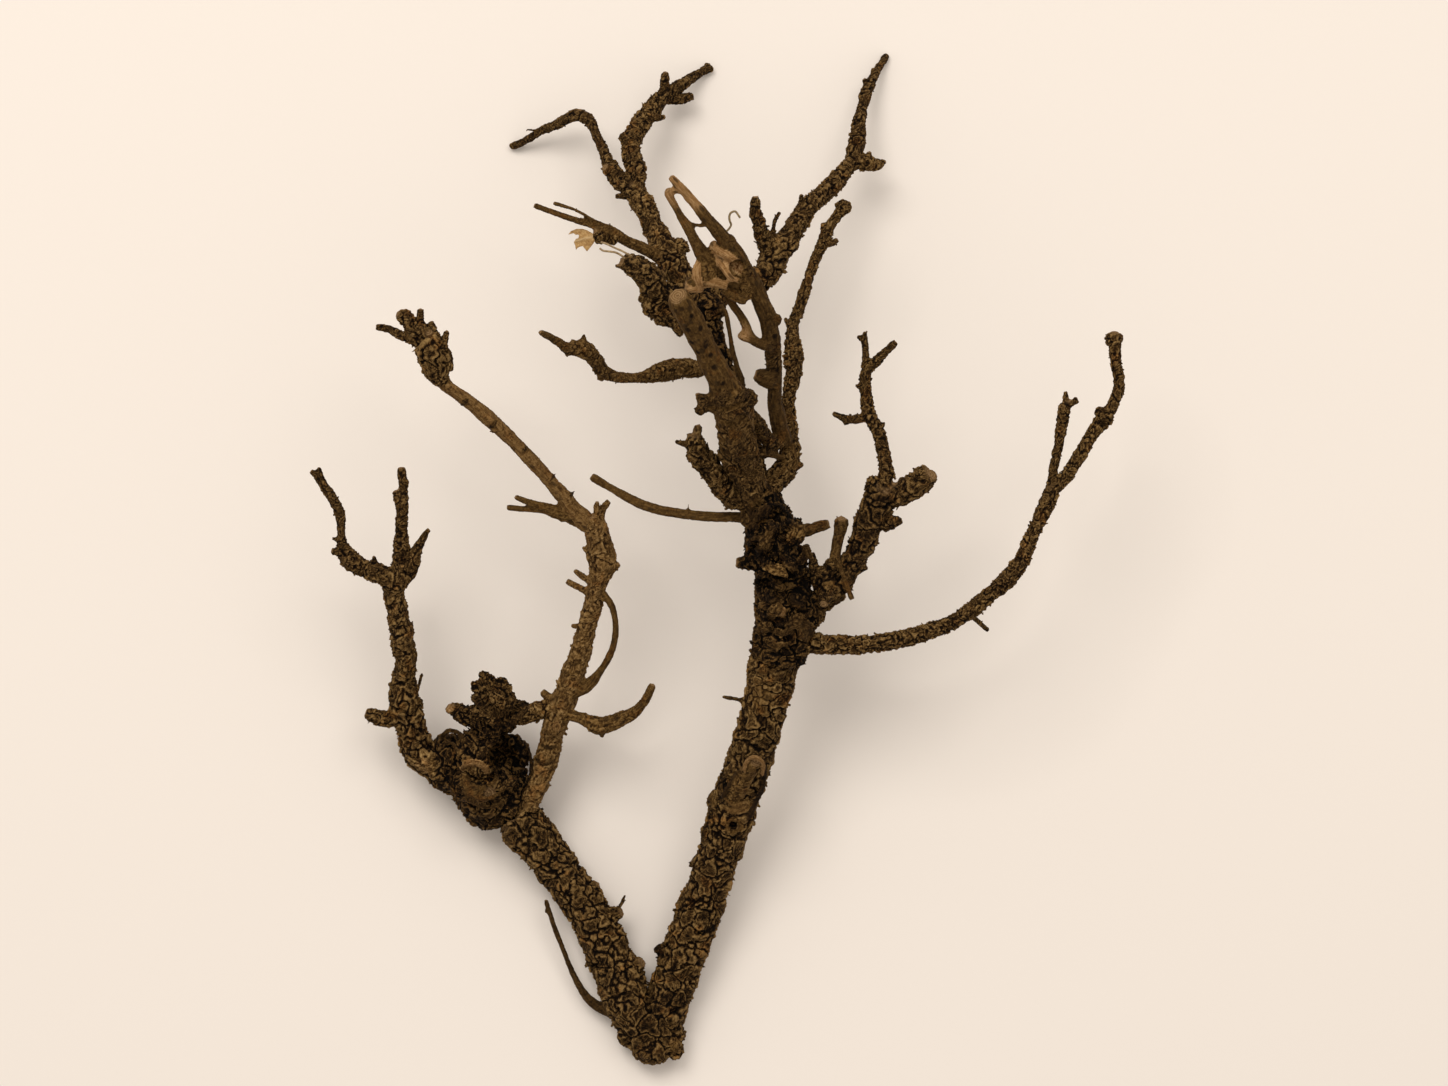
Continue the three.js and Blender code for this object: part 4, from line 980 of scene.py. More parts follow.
grow_wood("fork", fork, ("right_limb", "left_limb", "hanging_twig"),
          hollows=((32.2, 84.9, 39.8, 2.0, 1.5), (25.4, 66.9, 28.0, 1.4, 1.3)),
          # The two dark patches of tone -0.8 at the hollows, at (33.2, 86.9) and (25.4, 66.9), are painted
          # shade.
          patches=(
              (32.9, 105.8, 42, 7, 1.0, 0.6), (33.2, 86.9, 39, 1.8, -0.8, 0),
              (25.4, 66.9, 27, 1.8, -0.8, 0), (32.5, 77, 29, 3.2, -0.7, 0), (30, 70.5, 25, 3, -0.6, 0),
              (22, 79, 29, 2.8, -0.5, 0), (3, 28, 8, 5, -0.8, 0), (4.5, 21, 8, 3.5, -0.7, 0),
              (6, 35, 9, 3, -0.6, 0), (36, 119, 46, 4.5, 0.75, 0.1), (8, 0, 9, 4, 0.9, 0.2),
              (4, 12, 12, 7, 0.1, 0), (-1, 7, 10, 6, 0.15, 0), (26, 97, 36, 5, 0.65, 0.2),
          ))

# The left knot is a fist of burls round a deep hollow, with the outer limb that climbs from it
# and the three twigs at its end. The burls are the oldest and darkest wood of the piece, and the
# hollows in the knot are darkened further with painted shade.
left_wood = limb(
    knots=[
        [-48, 77.8, 10.6, 11.8], [-60, 85.8, 12, 9], [-43, 88.5, 15, 6], [-52, 89, 20, 7.9],
    ],
    stubs=[
        [[-52, 99, 24, 3], [-57.5, 101.3, 26, 2.8], [-61, 102.8, 27.5, 2.1]],
        [[-48.5, 95, 21, 6], [-48, 104.5, 25, 5.6], [-48.8, 112, 28, 3]],
        [[-45, 99.5, 22, 4.3], [-39.5, 101.8, 24, 3.2], [-35.8, 102.3, 25, 2]],
        [[-60, 84, 14, 4.4], [-56, 78, 21, 3.6], [-49, 76, 24, 2.6]],
    ],
    tone=0.02, smooth=-0.1,
)
left_wood += limb(
    route=[
        [-62, 84, 14, 4.4], [-70, 88.5, 15, 4.8], [-72.5, 96, 17, 4.2], [-75, 105, 20, 4.5],
        [-75, 111.5, 22, 3.4], [-74.7, 117.5, 25, 3.1], [-75.6, 123.5, 27.5, 3.6],
        [-76.7, 129.6, 30, 3.2], [-78, 135.7, 33, 3.3], [-78.6, 141.5, 35.5, 3.4],
    ],
    stubs=[
        [[-76.5, 99.5, 18, 2.6], [-82.5, 99.7, 18.5, 2.4], [-87.3, 101.4, 19, 1.8]],
        [[-72, 105, 22, 0.9], [-69.5, 113.5, 25, 0.7]],
        [[-76, 109, 21, 1.2], [-80.3, 110, 22, 0.8]],
    ],
    knots=[[-78, 141.8, 35.5, 4.2], [-70.6, 104.3, 21, 1.6]],
    tone=0.45,
)
left_wood += limb(
    route=[
        [-79, 142.5, 36, 2.4], [-83, 144, 37, 2.9], [-87, 145, 38.5, 2.7], [-91.5, 148, 40, 2.9],
        [-93.6, 151.6, 41, 1.9], [-94.2, 157, 42.5, 1.4], [-94.7, 161.7, 44, 1.8],
        [-96.5, 166.2, 45.5, 1.6], [-99.4, 170.2, 47, 1.6], [-101.5, 173.2, 48, 1.2],
        [-103.8, 175.2, 49, 1],
    ],
    stubs=[
        [[-98.5, 169, 46.5, 1], [-101.2, 176.4, 49.5, 0.8]],
        [[-93.8, 153.2, 41.5, 1], [-97.3, 154.6, 42, 0.8]],
        [[-93, 149.5, 41, 1.4], [-97.6, 150.7, 42, 1.2]],
        [[-83, 144.5, 38, 1.2], [-84.5, 149.2, 40, 0.9]],
    ],
)
left_wood += limb(
    route=[
        [-76.7, 142.5, 36, 2.4], [-76, 147.9, 37.5, 2.7], [-76, 154, 39.5, 2.2], [-75.8, 160, 42, 1.9],
        [-75.3, 166.2, 44, 1.7], [-75.5, 172.3, 45.5, 1.6], [-76.2, 176.3, 47, 1.4],
    ],
    stubs=[
        [[-76, 164, 43.5, 1.7], [-77.9, 169.3, 45, 1.5]],
        [[-75.2, 170, 45.5, 0.8], [-73.4, 172, 46.5, 0.6]],
    ],
)
left_wood += limb(
    route=[
        [-76.3, 140.5, 35, 1.9], [-73, 144, 36, 2.1], [-71.8, 148.5, 37.3, 2], [-70.8, 151.8, 38.3, 1.6],
        [-67.4, 157.5, 40, 1],
    ],
)
left_wood += [vein(left_wood, fold, tone, 0.6) for tone, fold in (
    (1.2, [[-57.6, 83.9, 0.6, 0.8], [-55.5, 85.7, 0.5, 1], [-52.8, 85.7, 0.6, 1.1], [-50, 83.9, 0.5, 1],
        [-49.4, 82.3, 0.3, 0.7]]),
    (0.85, [[-57.3, 82, 0.6, 0.8], [-54.9, 79.3, 0.4, 1], [-51.9, 77.8, 0.4, 1], [-48.8, 78.7, 0.3, 0.9],
        [-47, 81.1, 0.2, 0.8], [-46.7, 83.9, 0.1, 0.7]]),
    (0.7, [[-57.6, 79.9, 0.2, 0.7], [-54.9, 76.9, 0.3, 0.9], [-51.2, 75, 0.3, 0.9],
        [-47.3, 75.9, 0.3, 0.8], [-44.5, 78.4, 0.2, 0.7]]),
    (0.5, [[-57, 77.2, 0.2, 0.6], [-54.3, 74.1, 0.3, 0.8], [-50.3, 72.6, 0.3, 0.8],
        [-46.4, 73.2, 0.2, 0.7], [-43.3, 75.3, 0.1, 0.6]]),
    (0.35, [[-54.9, 72.3, 0.1, 0.6], [-50.6, 70.1, 0.2, 0.7], [-45.8, 70.5, 0.1, 0.6]]),
    (0.9, [[-55.5, 82, 0.3, 0.6], [-53.1, 81.1, 0.4, 0.7], [-50.3, 82, 0.2, 0.5]]),
    (0.4, [[-64, 93.6, 0.2, 0.8], [-61.3, 95.8, 0.4, 1], [-58.6, 95.2, 0.4, 0.9], [-57, 92.7, 0.2, 0.8]]),
    (0.35, [[-64, 90.6, 0.2, 0.7], [-61.6, 92.1, 0.4, 0.8], [-59.5, 91.2, 0.3, 0.8],
        [-58.6, 88.1, 0.2, 0.7]]),
    (0.9, [[-68.9, 85.1, 0.1, 0.7], [-67.4, 83.6, 0.3, 1], [-66.5, 81.4, 0.1, 0.8]]),
    (0.3, [[-37.2, 90.6, 0.2, 0.7], [-36.3, 86.3, 0.3, 0.8], [-36.9, 81.7, 0.2, 0.7],
        [-38.4, 78.4, 0.1, 0.6]]),
)]
left_wood += [strand(plate, tone, 0.2) for tone, plate in (
    (0.9, [[-59.2, 102.5, 27, 2.1], [-61, 102.5, 27.6, 2.1], [-62.2, 103.1, 28, 1.9]]),
)]
left_wood += [strand(plate, tone, 0.15, broken=False, pitch=0.5, flat=0.32) for tone, plate in (
    (0.35, [[-47, 104, 30, 1.2], [-50.3, 107.4, 32.2, 2.8], [-53.4, 109.5, 33, 2],
        [-54.6, 110.4, 33.2, 1.1]]),
    (0.4, [[-45.8, 105.2, 31, 1.2], [-48.5, 109.5, 33.6, 3], [-50.9, 112.8, 34.2, 2],
        [-51.9, 114.1, 34.3, 1.1]]),
    (0.25, [[-45.8, 104.3, 30.5, 1.2], [-44.5, 107.4, 32.4, 2.6], [-44.8, 110.4, 33, 2],
        [-46.1, 112.2, 33, 1.2]]),
    (0.3, [[-46.4, 101.3, 29, 1.2], [-50.3, 104.3, 31.5, 2.5], [-53.4, 105.8, 32, 1.9],
        [-54.9, 106.4, 32, 0.9]]),
    (0.95, [[-48.2, 108.6, 34.4, 1.5], [-46.4, 106.1, 35.6, 2.5], [-45.1, 103.4, 35.4, 1.5],
        [-44.5, 101.6, 35, 0.5]]),
    (0.2, [[-44.8, 100.6, 29, 1.2], [-43, 103.7, 31, 2], [-41.8, 106.1, 31.4, 1.4],
        [-41.2, 107.7, 31.4, 0.7]]),
    (0.3, [[-50, 99.7, 28.5, 1.2], [-53.1, 101.9, 30.4, 2.3], [-55.5, 102.8, 30.8, 1.3]]),
    (0.25, [[-45.8, 97.9, 28.5, 1.2], [-48.5, 100, 30.8, 2.4], [-51.2, 101, 31.6, 1.5],
        [-52.5, 101.6, 31.8, 0.8]]),
    (0.2, [[-45.4, 95.8, 25.8, 1.4], [-43.3, 97.3, 28, 1.4], [-40.6, 99.7, 29.3, 1.7],
        [-38.1, 101.9, 29.8, 0.8], [-35.7, 104.6, 30.2, 0.4]]),
    (0.2, [[-50.6, 96.1, 27, 1.2], [-53.1, 98.5, 29, 1.9], [-54.9, 100, 29.4, 0.7]]),
    (0.2, [[-47.3, 94.9, 26, 1.2], [-46.7, 97.9, 28.8, 1.7], [-46.1, 100, 29.8, 0.7]]),
    (0.3, [[-52.5, 91.5, 25, 1.1], [-50.9, 93.6, 27, 1.8], [-48.8, 95.2, 28, 0.8]]),
    (0.3, [[-45.8, 77.8, 23, 1], [-42.7, 79.9, 24.6, 1.7], [-40, 81.4, 25, 0.8]]),
)]
grow_wood("left_knot_wood", left_wood,
          ("left_knot", "outer_limb", "west_twig", "middle_twig", "east_twig"),
          flakes=0.028, flake_size=1.1,
          hollows=((-45.2, 88.2, 22.0, 5.0, 2.0), (-41.5, 85.0, 20.0, 3.4, 1.8),
                   (-43.5, 93.5, 24.0, 3.0, 1.6)),
          # The three dark patches at the hollows, at (-45.2, 88.8), (-40, 82) and (-42, 94.5), are painted
          # shade.
          patches=(
              (-45.2, 88.8, 19, 9.5, -1.4, -0.3), (-40, 82, 18, 8, -0.8, -0.4),
              (-42, 94.5, 24, 6.5, -0.7, -0.4), (-50, 96.5, 26, 5, -0.6, -0.3),
              (-48, 110, 31, 9, 0.1, -0.3), (-53, 100, 27, 6, 0.1, -0.3), (-54.5, 84, 25, 3.2, 1.1, 0.3),
              (-46.6, 105.2, 33, 3.0, 1.1, 0.5), (-69.5, 85, 19, 6, 1.15, 0.1),
              (-61.5, 102.8, 29, 2.4, 1.3, 0.5),
          ))

# The inner limb climbs out of the knot on its other side, with an arm back to the knot, a twig
# that bows out and comes back, a wavy spur, and a burl near its top.
inner_wood = limb(
    route=[
        [-37.5, 72, 14, 3], [-34, 80.5, 16.5, 3.6], [-31.3, 88, 19, 3.6], [-30, 94, 21, 3.4],
        [-28.6, 99, 23, 3.6], [-26.2, 105.5, 26, 3.7], [-23.9, 111.5, 29, 3.6], [-22, 117.5, 31.5, 3.4],
        [-20.2, 124, 34, 3.1], [-18, 132, 37, 2.9], [-16.7, 137, 39, 2.9], [-15.6, 142, 41, 3.2],
        [-15, 147.5, 43, 4.3], [-15.5, 152.5, 44.5, 4], [-16.5, 157.5, 46, 3.7], [-18.3, 161.7, 47, 3.2],
    ],
    stubs=[
        [[-16, 160, 46, 1.6], [-14, 164, 47.5, 1.3], [-12.3, 166, 48, 1.2]],
        [[-16.7, 160, 47, 1.3], [-16.2, 165.8, 50, 1]],
        [[-17, 148, 43.5, 1.2], [-20.8, 152, 44.5, 0.8]],
        [[-13.5, 143.5, 42.5, 1.6], [-9.2, 146.9, 44, 1.2]],
        [[-17, 140.3, 40.5, 1.3], [-23.4, 144.8, 42, 1]],
        [[-17, 137, 39, 1.4], [-25.8, 141.6, 39.5, 1.1]],
        [[-19.5, 127.5, 36, 1.1], [-24.4, 127.8, 37, 0.9]],
        [[-29, 104.5, 25, 1.4], [-33.3, 108, 26, 1.4]],
    ],
    knots=[[-29, 96.5, 25, 2.7]],
    tone=1.1, smooth=0.42,
)
inner_wood += limb(
    route=[[-28.5, 101.5, 24.5, 2.2], [-33.5, 102, 24.5, 2.7], [-38.5, 100.4, 23.5, 2.7], [-44, 99, 22, 2]],
    tone=0.85, smooth=0.2,
)
inner_wood += limb(
    route=[
        [-24.5, 106.5, 28, 1.8], [-19, 109.5, 30, 2], [-15.3, 113.8, 32.5, 1.4], [-12.2, 119, 35, 1.2],
        [-10.7, 124.5, 37, 1.2], [-10.7, 129.6, 38.5, 1.2], [-11.8, 133.9, 39.5, 1.2],
        [-15, 138.5, 40.5, 1.2],
    ],
    tone=0.85, smooth=0.8,
)
inner_wood += limb(
    route=[
        [-28, 101, 25, 1.9], [-21.4, 99.7, 27, 1.8], [-18.3, 98.5, 28, 2.3], [-15, 97.2, 29, 2.7],
        [-10.7, 98.5, 30.5, 2.6], [-4.6, 101.6, 33, 1.8], [-1.5, 105.2, 35, 1.5], [0.9, 110.1, 37, 1.4],
    ],
    stubs=[[[-15, 97, 28.5, 1.4], [-14.6, 93.4, 28, 0.8]]],
    tone=0.95, smooth=0.6,
)
inner_wood += [vein(inner_wood, ring, tone, 0.5) for tone, ring in (
    (1.2, [[-29.9, 97, 0.3, 0.4], [-28.7, 98.2, 0.4, 0.5], [-27.4, 97, 0.3, 0.5], [-28.4, 95.8, 0.3, 0.4],
        [-29.9, 96.7, 0.3, 0.4]]),
    (1.1, [[-32.6, 94.9, 0.3, 0.4], [-31.4, 95.8, 0.4, 0.5], [-30.2, 94.5, 0.3, 0.4]]),
    (1.1, [[-27.4, 106.1, 0.2, 0.5], [-26.5, 107.1, 0.5, 0.7], [-26.2, 105.2, 0.2, 0.5]]),
    (0.3, [[-33.2, 91.5, 0.2, 0.4], [-31.1, 90.6, 0.3, 0.5], [-28.7, 91.2, 0.2, 0.4]]),
    (0.9, [[-27.4, 114.1, 0.2, 0.4], [-25, 113.2, 0.3, 0.5], [-22.3, 113.5, 0.2, 0.4]]),
    (0.8, [[-25.6, 116.8, 0.2, 0.4], [-23.5, 116.2, 0.3, 0.5], [-21.3, 116.8, 0.2, 0.4]]),
    (0.35, [[-34.8, 86.9, 0.2, 0.4], [-32.3, 85.7, 0.3, 0.5], [-29.9, 86.3, 0.2, 0.4]]),
)]
grow_wood("inner_limb_wood", inner_wood, ("inner_limb", "bridge_arm", "loop_twig", "spur_twig"))

# The long branch runs to the upper left and ends in a claw of blunt fingers. A double stub of
# younger, smoother wood leaves it at its foot.
long_wood = limb(
    route=[
        [-17.6, 157.5, 46, 2.6], [-20.7, 160.7, 47, 3.1], [-24.4, 164.6, 48.5, 2.7],
        [-28.6, 169.6, 50, 2.3], [-34.4, 176.2, 52, 2.2], [-40.4, 182.6, 53.5, 2.2],
        [-45.8, 187.8, 55, 2.3], [-49.6, 191.2, 56, 2.4], [-55.2, 195.9, 57, 2.2],
        [-59.6, 199.2, 58, 2.1], [-63.7, 202.2, 58.5, 2.3],
    ],
    tone=1.13, smooth=0.8,
)
long_wood += limb(
    route=[[-18.8, 159.5, 46, 2.4], [-24, 161.4, 46.5, 2.8], [-28, 162.3, 47.5, 2.4],
           [-31.5, 162.9, 48, 1.8]],
    stubs=[
        [[-27, 162.7, 47.5, 1.6], [-36, 163.2, 49, 1.2], [-44, 163.9, 50, 1.1]],
        [[-28, 163, 48, 1.6], [-35.5, 164.8, 50.5, 1.4], [-41.5, 167.2, 53, 1.1]],
        [[-27.3, 162, 47, 1], [-27, 159, 47, 0.6]],
    ],
    tone=1.0, smooth=0.75,
)
long_wood += limb(
    route=[
        [-62.5, 201.4, 58.5, 1.8], [-64.8, 204.6, 59.5, 3.5], [-66, 209.5, 61, 4.5],
        [-67, 213.5, 62, 4.2], [-68.5, 217, 62.5, 2.6],
    ],
    stubs=[
        [[-69, 214, 62, 1.9], [-76.3, 216.5, 63, 1.5], [-80, 218.4, 63.5, 1.3], [-84, 219, 64, 1.2]],
        [[-68.5, 215, 62.5, 2.4], [-72.5, 218.8, 64, 2.3], [-74.6, 221.8, 65, 2.2],
         [-77.4, 223.2, 66, 1.6]],
        [[-68.6, 216, 62, 1.7], [-70.1, 221.5, 63, 1.4], [-69.9, 224.7, 64, 1.3]],
        [[-66, 213, 61, 1.6], [-66.3, 218, 61.5, 1.4], [-67, 221, 62, 1.1]],
        [[-65, 212, 60, 1.5], [-62.7, 215, 60.5, 1.3], [-62, 218, 61.5, 1]],
        [[-64.5, 213, 60, 1.5], [-61.6, 210.5, 59.5, 1.3], [-61, 205, 59, 1.2]],
    ],
    tone=0.5,
)
long_wood += [vein(long_wood, ring, 0.3, 0.3) for ring in (
    [[-48.8, 188.2, -0.1, 0.4], [-47.9, 189.1, -0.1, 0.6], [-47, 190.3, -0.1, 0.4]],
    [[-39, 180.9, -0.1, 0.4], [-38.1, 181.8, -0.2, 0.6], [-37.2, 182.7, -0.1, 0.4]],
    [[-30.2, 172.3, -0.2, 0.3], [-29.6, 173.2, -0.3, 0.6], [-28.7, 174.2, -0.2, 0.3]],
    [[-24.4, 167.1, -0.2, 0.3], [-23.8, 168.1, -0.3, 0.6], [-22.9, 169, -0.2, 0.3]],
    [[-57.6, 194.9, 0, 0.4], [-56.7, 195.8, 0.1, 0.6], [-55.8, 196.7, 0, 0.4]],
)]
grow_wood("long_branch_wood", long_wood, ("long_branch", "double_stub", "claw"))

# The heart is the dark knotted mass where the right limb divides, with three stubs round it and
# the long thin twig that arcs to the left. Painted shade darkens its hollows further.
heart_wood = limb(
    route=[
        [39.4, 118.5, 41, 8.1], [40.6, 125, 43, 8.5], [41.6, 132, 45, 9], [41, 139, 46.5, 8.7],
        [39.3, 146.4, 48, 7.6], [37, 154, 50, 8], [35.4, 161, 52, 7], [32.8, 167, 54, 5.8],
        [31, 171.5, 56, 5.2],
    ],
    stubs=[[[36, 146, 49, 2.4], [31, 146.8, 50, 2.2], [25.7, 147, 51, 1.9]]],
    knots=[[42.5, 156.5, 53, 4.2], [46, 132, 46, 6.6], [34.5, 155, 54, 4.6], [43.5, 146, 50, 4.4]],
    tone=-0.38, smooth=-0.1,
)
heart_wood += limb(
    route=[[42, 157.2, 51.5, 2], [47.6, 156.8, 52.5, 2.2], [51.5, 158, 53, 1.9], [55, 158.9, 53.5, 1.9]],
    tone=0.45, smooth=0.6,
)
heart_wood += limb(
    route=[[56.2, 146.5, 52.5, 1.8], [57, 152.5, 54.5, 1.8], [57.8, 156.5, 55.5, 1.9],
           [58.2, 158, 56.3, 1.9]],
    stubs=[
        [[58, 156.5, 55.6, 2], [58.5, 161, 57.2, 2.4]],
        [[57, 149, 54.5, 1], [58.9, 143, 55.5, 1], [61.7, 135.4, 56, 1.2]],
    ],
    tone=0.6, smooth=0.7,
)
heart_wood += limb(
    route=[
        [29, 165.5, 54, 3], [24.4, 167.5, 56, 3.5], [20.1, 173.5, 60, 3.4], [15.8, 178.6, 64, 3.4],
        [13.8, 184, 67, 2.9], [13.8, 186.5, 68, 2.4],
    ],
    stubs=[
        [[14, 185, 67.5, 1.8], [14.8, 189.3, 69, 1.4]],
        [[13, 182.5, 67, 1.3], [7.2, 184, 69, 0.8]],
    ],
    knots=[[13.4, 179.5, 64.5, 2.4]],
    tone=0.4,
)
heart_wood += limb(
    route=[
        [31, 160, 50, 1.6], [26.5, 160.8, 50, 1.8], [20, 160.9, 50.5, 1.7], [11.6, 161.6, 51, 1.7],
        [3, 163.1, 51.5, 1.7], [-4.6, 165.7, 52, 1.6], [-11.6, 169.5, 52.5, 1.5], [-18.3, 173.6, 53, 1.6],
    ],
    stubs=[[[11.6, 161.5, 51.5, 0.6], [11.7, 165.2, 52, 0.45]]],
    tone=0.85, smooth=0.85,
)
heart_wood += [vein(heart_wood, ridge, tone, 0.45) for tone, ridge in (
    (1.25, [[36.3, 146.1, 1.4, 1.1], [39, 144.9, 2, 1.7], [41.8, 143, 1.4, 1]]),
    (0.5, [[35.4, 142.7, 1.5, 1.3], [38.1, 140.9, 1.9, 1.6], [41.2, 138.8, 1.5, 1.3]]),
    (0.6, [[32.6, 143, 0.3, 0.8], [32.6, 139.4, 0.5, 0.9], [34.2, 136, 0.3, 0.7]]),
    (0.15, [[35.7, 136.9, 0.6, 1.2], [37.5, 136, 0.8, 2], [39.3, 135.7, 0.5, 1.2]]),
    (0.12, [[42.7, 136.9, 0.6, 1.4], [44.8, 135.4, 0.8, 2.1], [46.7, 133.3, 0.5, 1.4]]),
    (1.3, [[38.7, 133, 1, 0.9], [40, 131.8, 1.3, 1.2], [40.9, 130.8, 0.9, 0.8]]),
    (0.9, [[42.1, 159.5, 1.2, 1.1], [43.9, 157.7, 1.6, 1.7], [45.4, 154.9, 1, 1.1]]),
    (0.35, [[40.6, 153.1, 0.5, 0.6], [42.4, 147.9, 0.6, 0.7], [44.8, 142.4, 0.5, 0.6],
        [46.7, 138.8, 0.3, 0.5]]),
    (0.2, [[31.1, 154, 0.4, 0.8], [34.2, 152.2, 0.6, 1], [37.2, 153.1, 0.4, 0.8]]),
    (0.25, [[32.3, 149.1, 0.4, 0.8], [35.7, 148.5, 0.6, 1], [38.4, 149.8, 0.4, 0.7]]),
    (0.25, [[33.5, 132.7, 0.4, 0.9], [35.4, 129.6, 0.6, 1.2], [34.8, 126, 0.3, 0.9]]),
    (0.4, [[36.6, 127.2, 0.3, 0.8], [40.3, 125.4, 0.5, 1], [44.2, 126.6, 0.3, 0.8]]),
    (0.45, [[35.1, 123.2, 0.3, 0.7], [39, 121.7, 0.5, 0.9], [43.3, 122.6, 0.3, 0.7]]),
    (0.3, [[45.8, 130.2, 0.4, 0.9], [48.2, 127.8, 0.6, 1.1], [49.4, 124.4, 0.4, 0.8]]),
    (0.3, [[36, 164.7, 0.4, 0.8], [39.6, 163.8, 0.7, 1.1], [42.1, 161.7, 0.4, 0.8]]),
    (0.2, [[29, 164.7, 0.4, 0.8], [31.1, 161, 0.6, 1], [32.6, 157.1, 0.3, 0.8]]),
)]
heart_wood += [vein(heart_wood, plate, tone, 0.5, flat=0.35) for tone, plate in (
    (1.0, [[34.8, 147.3, 0.4, 1.4], [37.5, 145.5, 2.6, 2.9], [40.9, 143.7, 3.8, 1.9],
        [42.4, 142.7, 4, 0.8]]),
    (0.5, [[32.9, 149.1, 0.2, 1.2], [34.8, 152.2, 2.6, 2.7], [36.3, 154.6, 3.4, 1.6],
        [36.9, 155.9, 3.5, 0.8]]),
    (0.85, [[41.8, 151.9, 0.6, 1.3], [44.2, 154.6, 2.8, 2.8], [46.1, 157.1, 3.6, 1.8],
        [46.7, 158.6, 3.8, 0.8]]),
    (0.45, [[30.5, 152.2, 0.2, 1.1], [32.6, 154, 2.2, 2.4], [35.4, 155.2, 3.2, 1.4]]),
    (0.6, [[39, 160.1, 0.2, 1.2], [36.9, 157.7, 2.2, 2.4], [35.4, 154.9, 3.2, 1.3]]),
    (0.4, [[32.3, 159.8, 0.2, 1.2], [34.5, 162.3, 2.2, 2.5], [36.6, 164.4, 3, 1.3]]),
    (0.65, [[40.6, 149.4, 0.4, 1.2], [42.7, 147, 2.8, 2.5], [44.5, 144.3, 3.4, 1.4]]),
    (0.6, [[45.4, 147.3, 0.4, 1.1], [47.3, 150.1, 2.4, 2.3], [48.2, 152.8, 3, 1.2]]),
    (0.55, [[32.6, 139.4, 0.2, 1.2], [34.2, 142.1, 2.4, 2.4], [36, 144.6, 3, 1.3]]),
    (0.5, [[46.4, 138.8, 0.4, 1.2], [48.5, 140.9, 2.4, 2.3], [50.3, 143, 3, 1.2]]),
    (0.7, [[35.7, 130.2, 0.2, 1.1], [38.1, 132.4, 2.2, 2.3], [40.3, 134.5, 2.8, 1.2]]),
    (0.5, [[42.1, 126.6, 0.2, 1.1], [44.5, 129.3, 2.2, 2.3], [46.4, 131.8, 2.8, 1.2]]),
    (0.5, [[32.6, 125.7, 0.2, 1.1], [35.1, 127.5, 1.8, 2.2], [37.5, 128.7, 2.4, 1.2]]),
    (0.5, [[48.2, 123.2, 0.2, 1.1], [46.4, 126, 1.8, 2.2], [45.1, 128.4, 2.4, 1.2]]),
    (0.4, [[28.1, 162.9, 0.2, 1.1], [29.3, 159.8, 2, 2.2], [31.1, 157.1, 2.6, 1.2]]),
)]
heart_wood += [vein(heart_wood, ridge, 0.85, 0.4) for ridge in (
    [[54.6, 147, 0.2, 0.6], [55.5, 148.8, 0.3, 0.7], [57.3, 148.5, 0.3, 0.7], [57.9, 146.7, 0.2, 0.6],
        [56.4, 145.5, 0.2, 0.6], [54.6, 146.4, 0.2, 0.5]],
)]
grow_wood("heart_wood", heart_wood,
          ("heart", "cluster_stub", "capped_twig", "left_stub", "arc_twig"),
          flakes=0.028, flake_size=1.2,
          hollows=((38.8, 161.5, 60.0, 3.0, 1.6), (48.0, 140.8, 55.5, 3.4, 1.6),
                   (35.0, 140.5, 55.0, 2.2, 1.5),
                   (33.5, 152.5, 57.0, 2.6, 1.5)),
          # The four darkest patches, at the four hollows, are painted shade.
          patches=(
              (38.8, 161.5, 58, 7, -1.4, -0.1), (48, 140.8, 53, 8, -1.4, -0.1),
              (35, 140.5, 54, 6, -1.1, -0.1), (33.5, 152.5, 56, 7, -1.3, -0.1),
              (36, 146, 57, 5, -0.7, -0.3), (37, 131, 50, 6, -0.6, -0.4), (44, 150, 57, 6, -1.1, -0.1),
              (25.5, 147, 51, 3.5, 0.7, 0.1),
          ))

# The right upper limb leaves the heart beside a lump of burls and forks into the stub that was
# sawn off and the antler twig with its two tines.
right_wood = limb(
    route=[
        [48, 133, 46, 3.4], [53.4, 136.2, 47, 4], [57.6, 140.8, 49, 4], [61.4, 146.8, 50.5, 3.9],
        [65, 154, 52, 4.1], [67, 160.1, 53.5, 4.3], [70.2, 166.2, 55, 4.8], [72.3, 169.8, 56, 4.2],
    ],
    stubs=[
        [[71, 158.5, 53, 2.4], [75, 159.6, 53.8, 1.8], [77.2, 160.2, 54, 1.3]],
        [[61, 144, 50, 1.8], [66.6, 145.6, 50.5, 0.9]],
        [[54, 139, 51, 2.6], [52.8, 133.9, 56, 2]],
        [[51.5, 139, 49, 1.9], [50.2, 144, 50.5, 1.7], [49.1, 150.5, 51.5, 1.2]],
    ],
    knots=[
        [53.8, 141.5, 50, 4.3], [56.2, 145.5, 52, 3], [50.5, 131.5, 47, 3.4], [68.2, 170.4, 56, 2.8],
        [64.6, 161.3, 54, 2],
    ],
    tone=0.2,
)
right_wood += limb(
    route=[[71.5, 167.5, 55.5, 3.3], [75.5, 167.8, 56, 3.9], [80, 170, 58, 3.8], [86, 174.6, 61.4, 3.4]],
    tone=0.4,
)
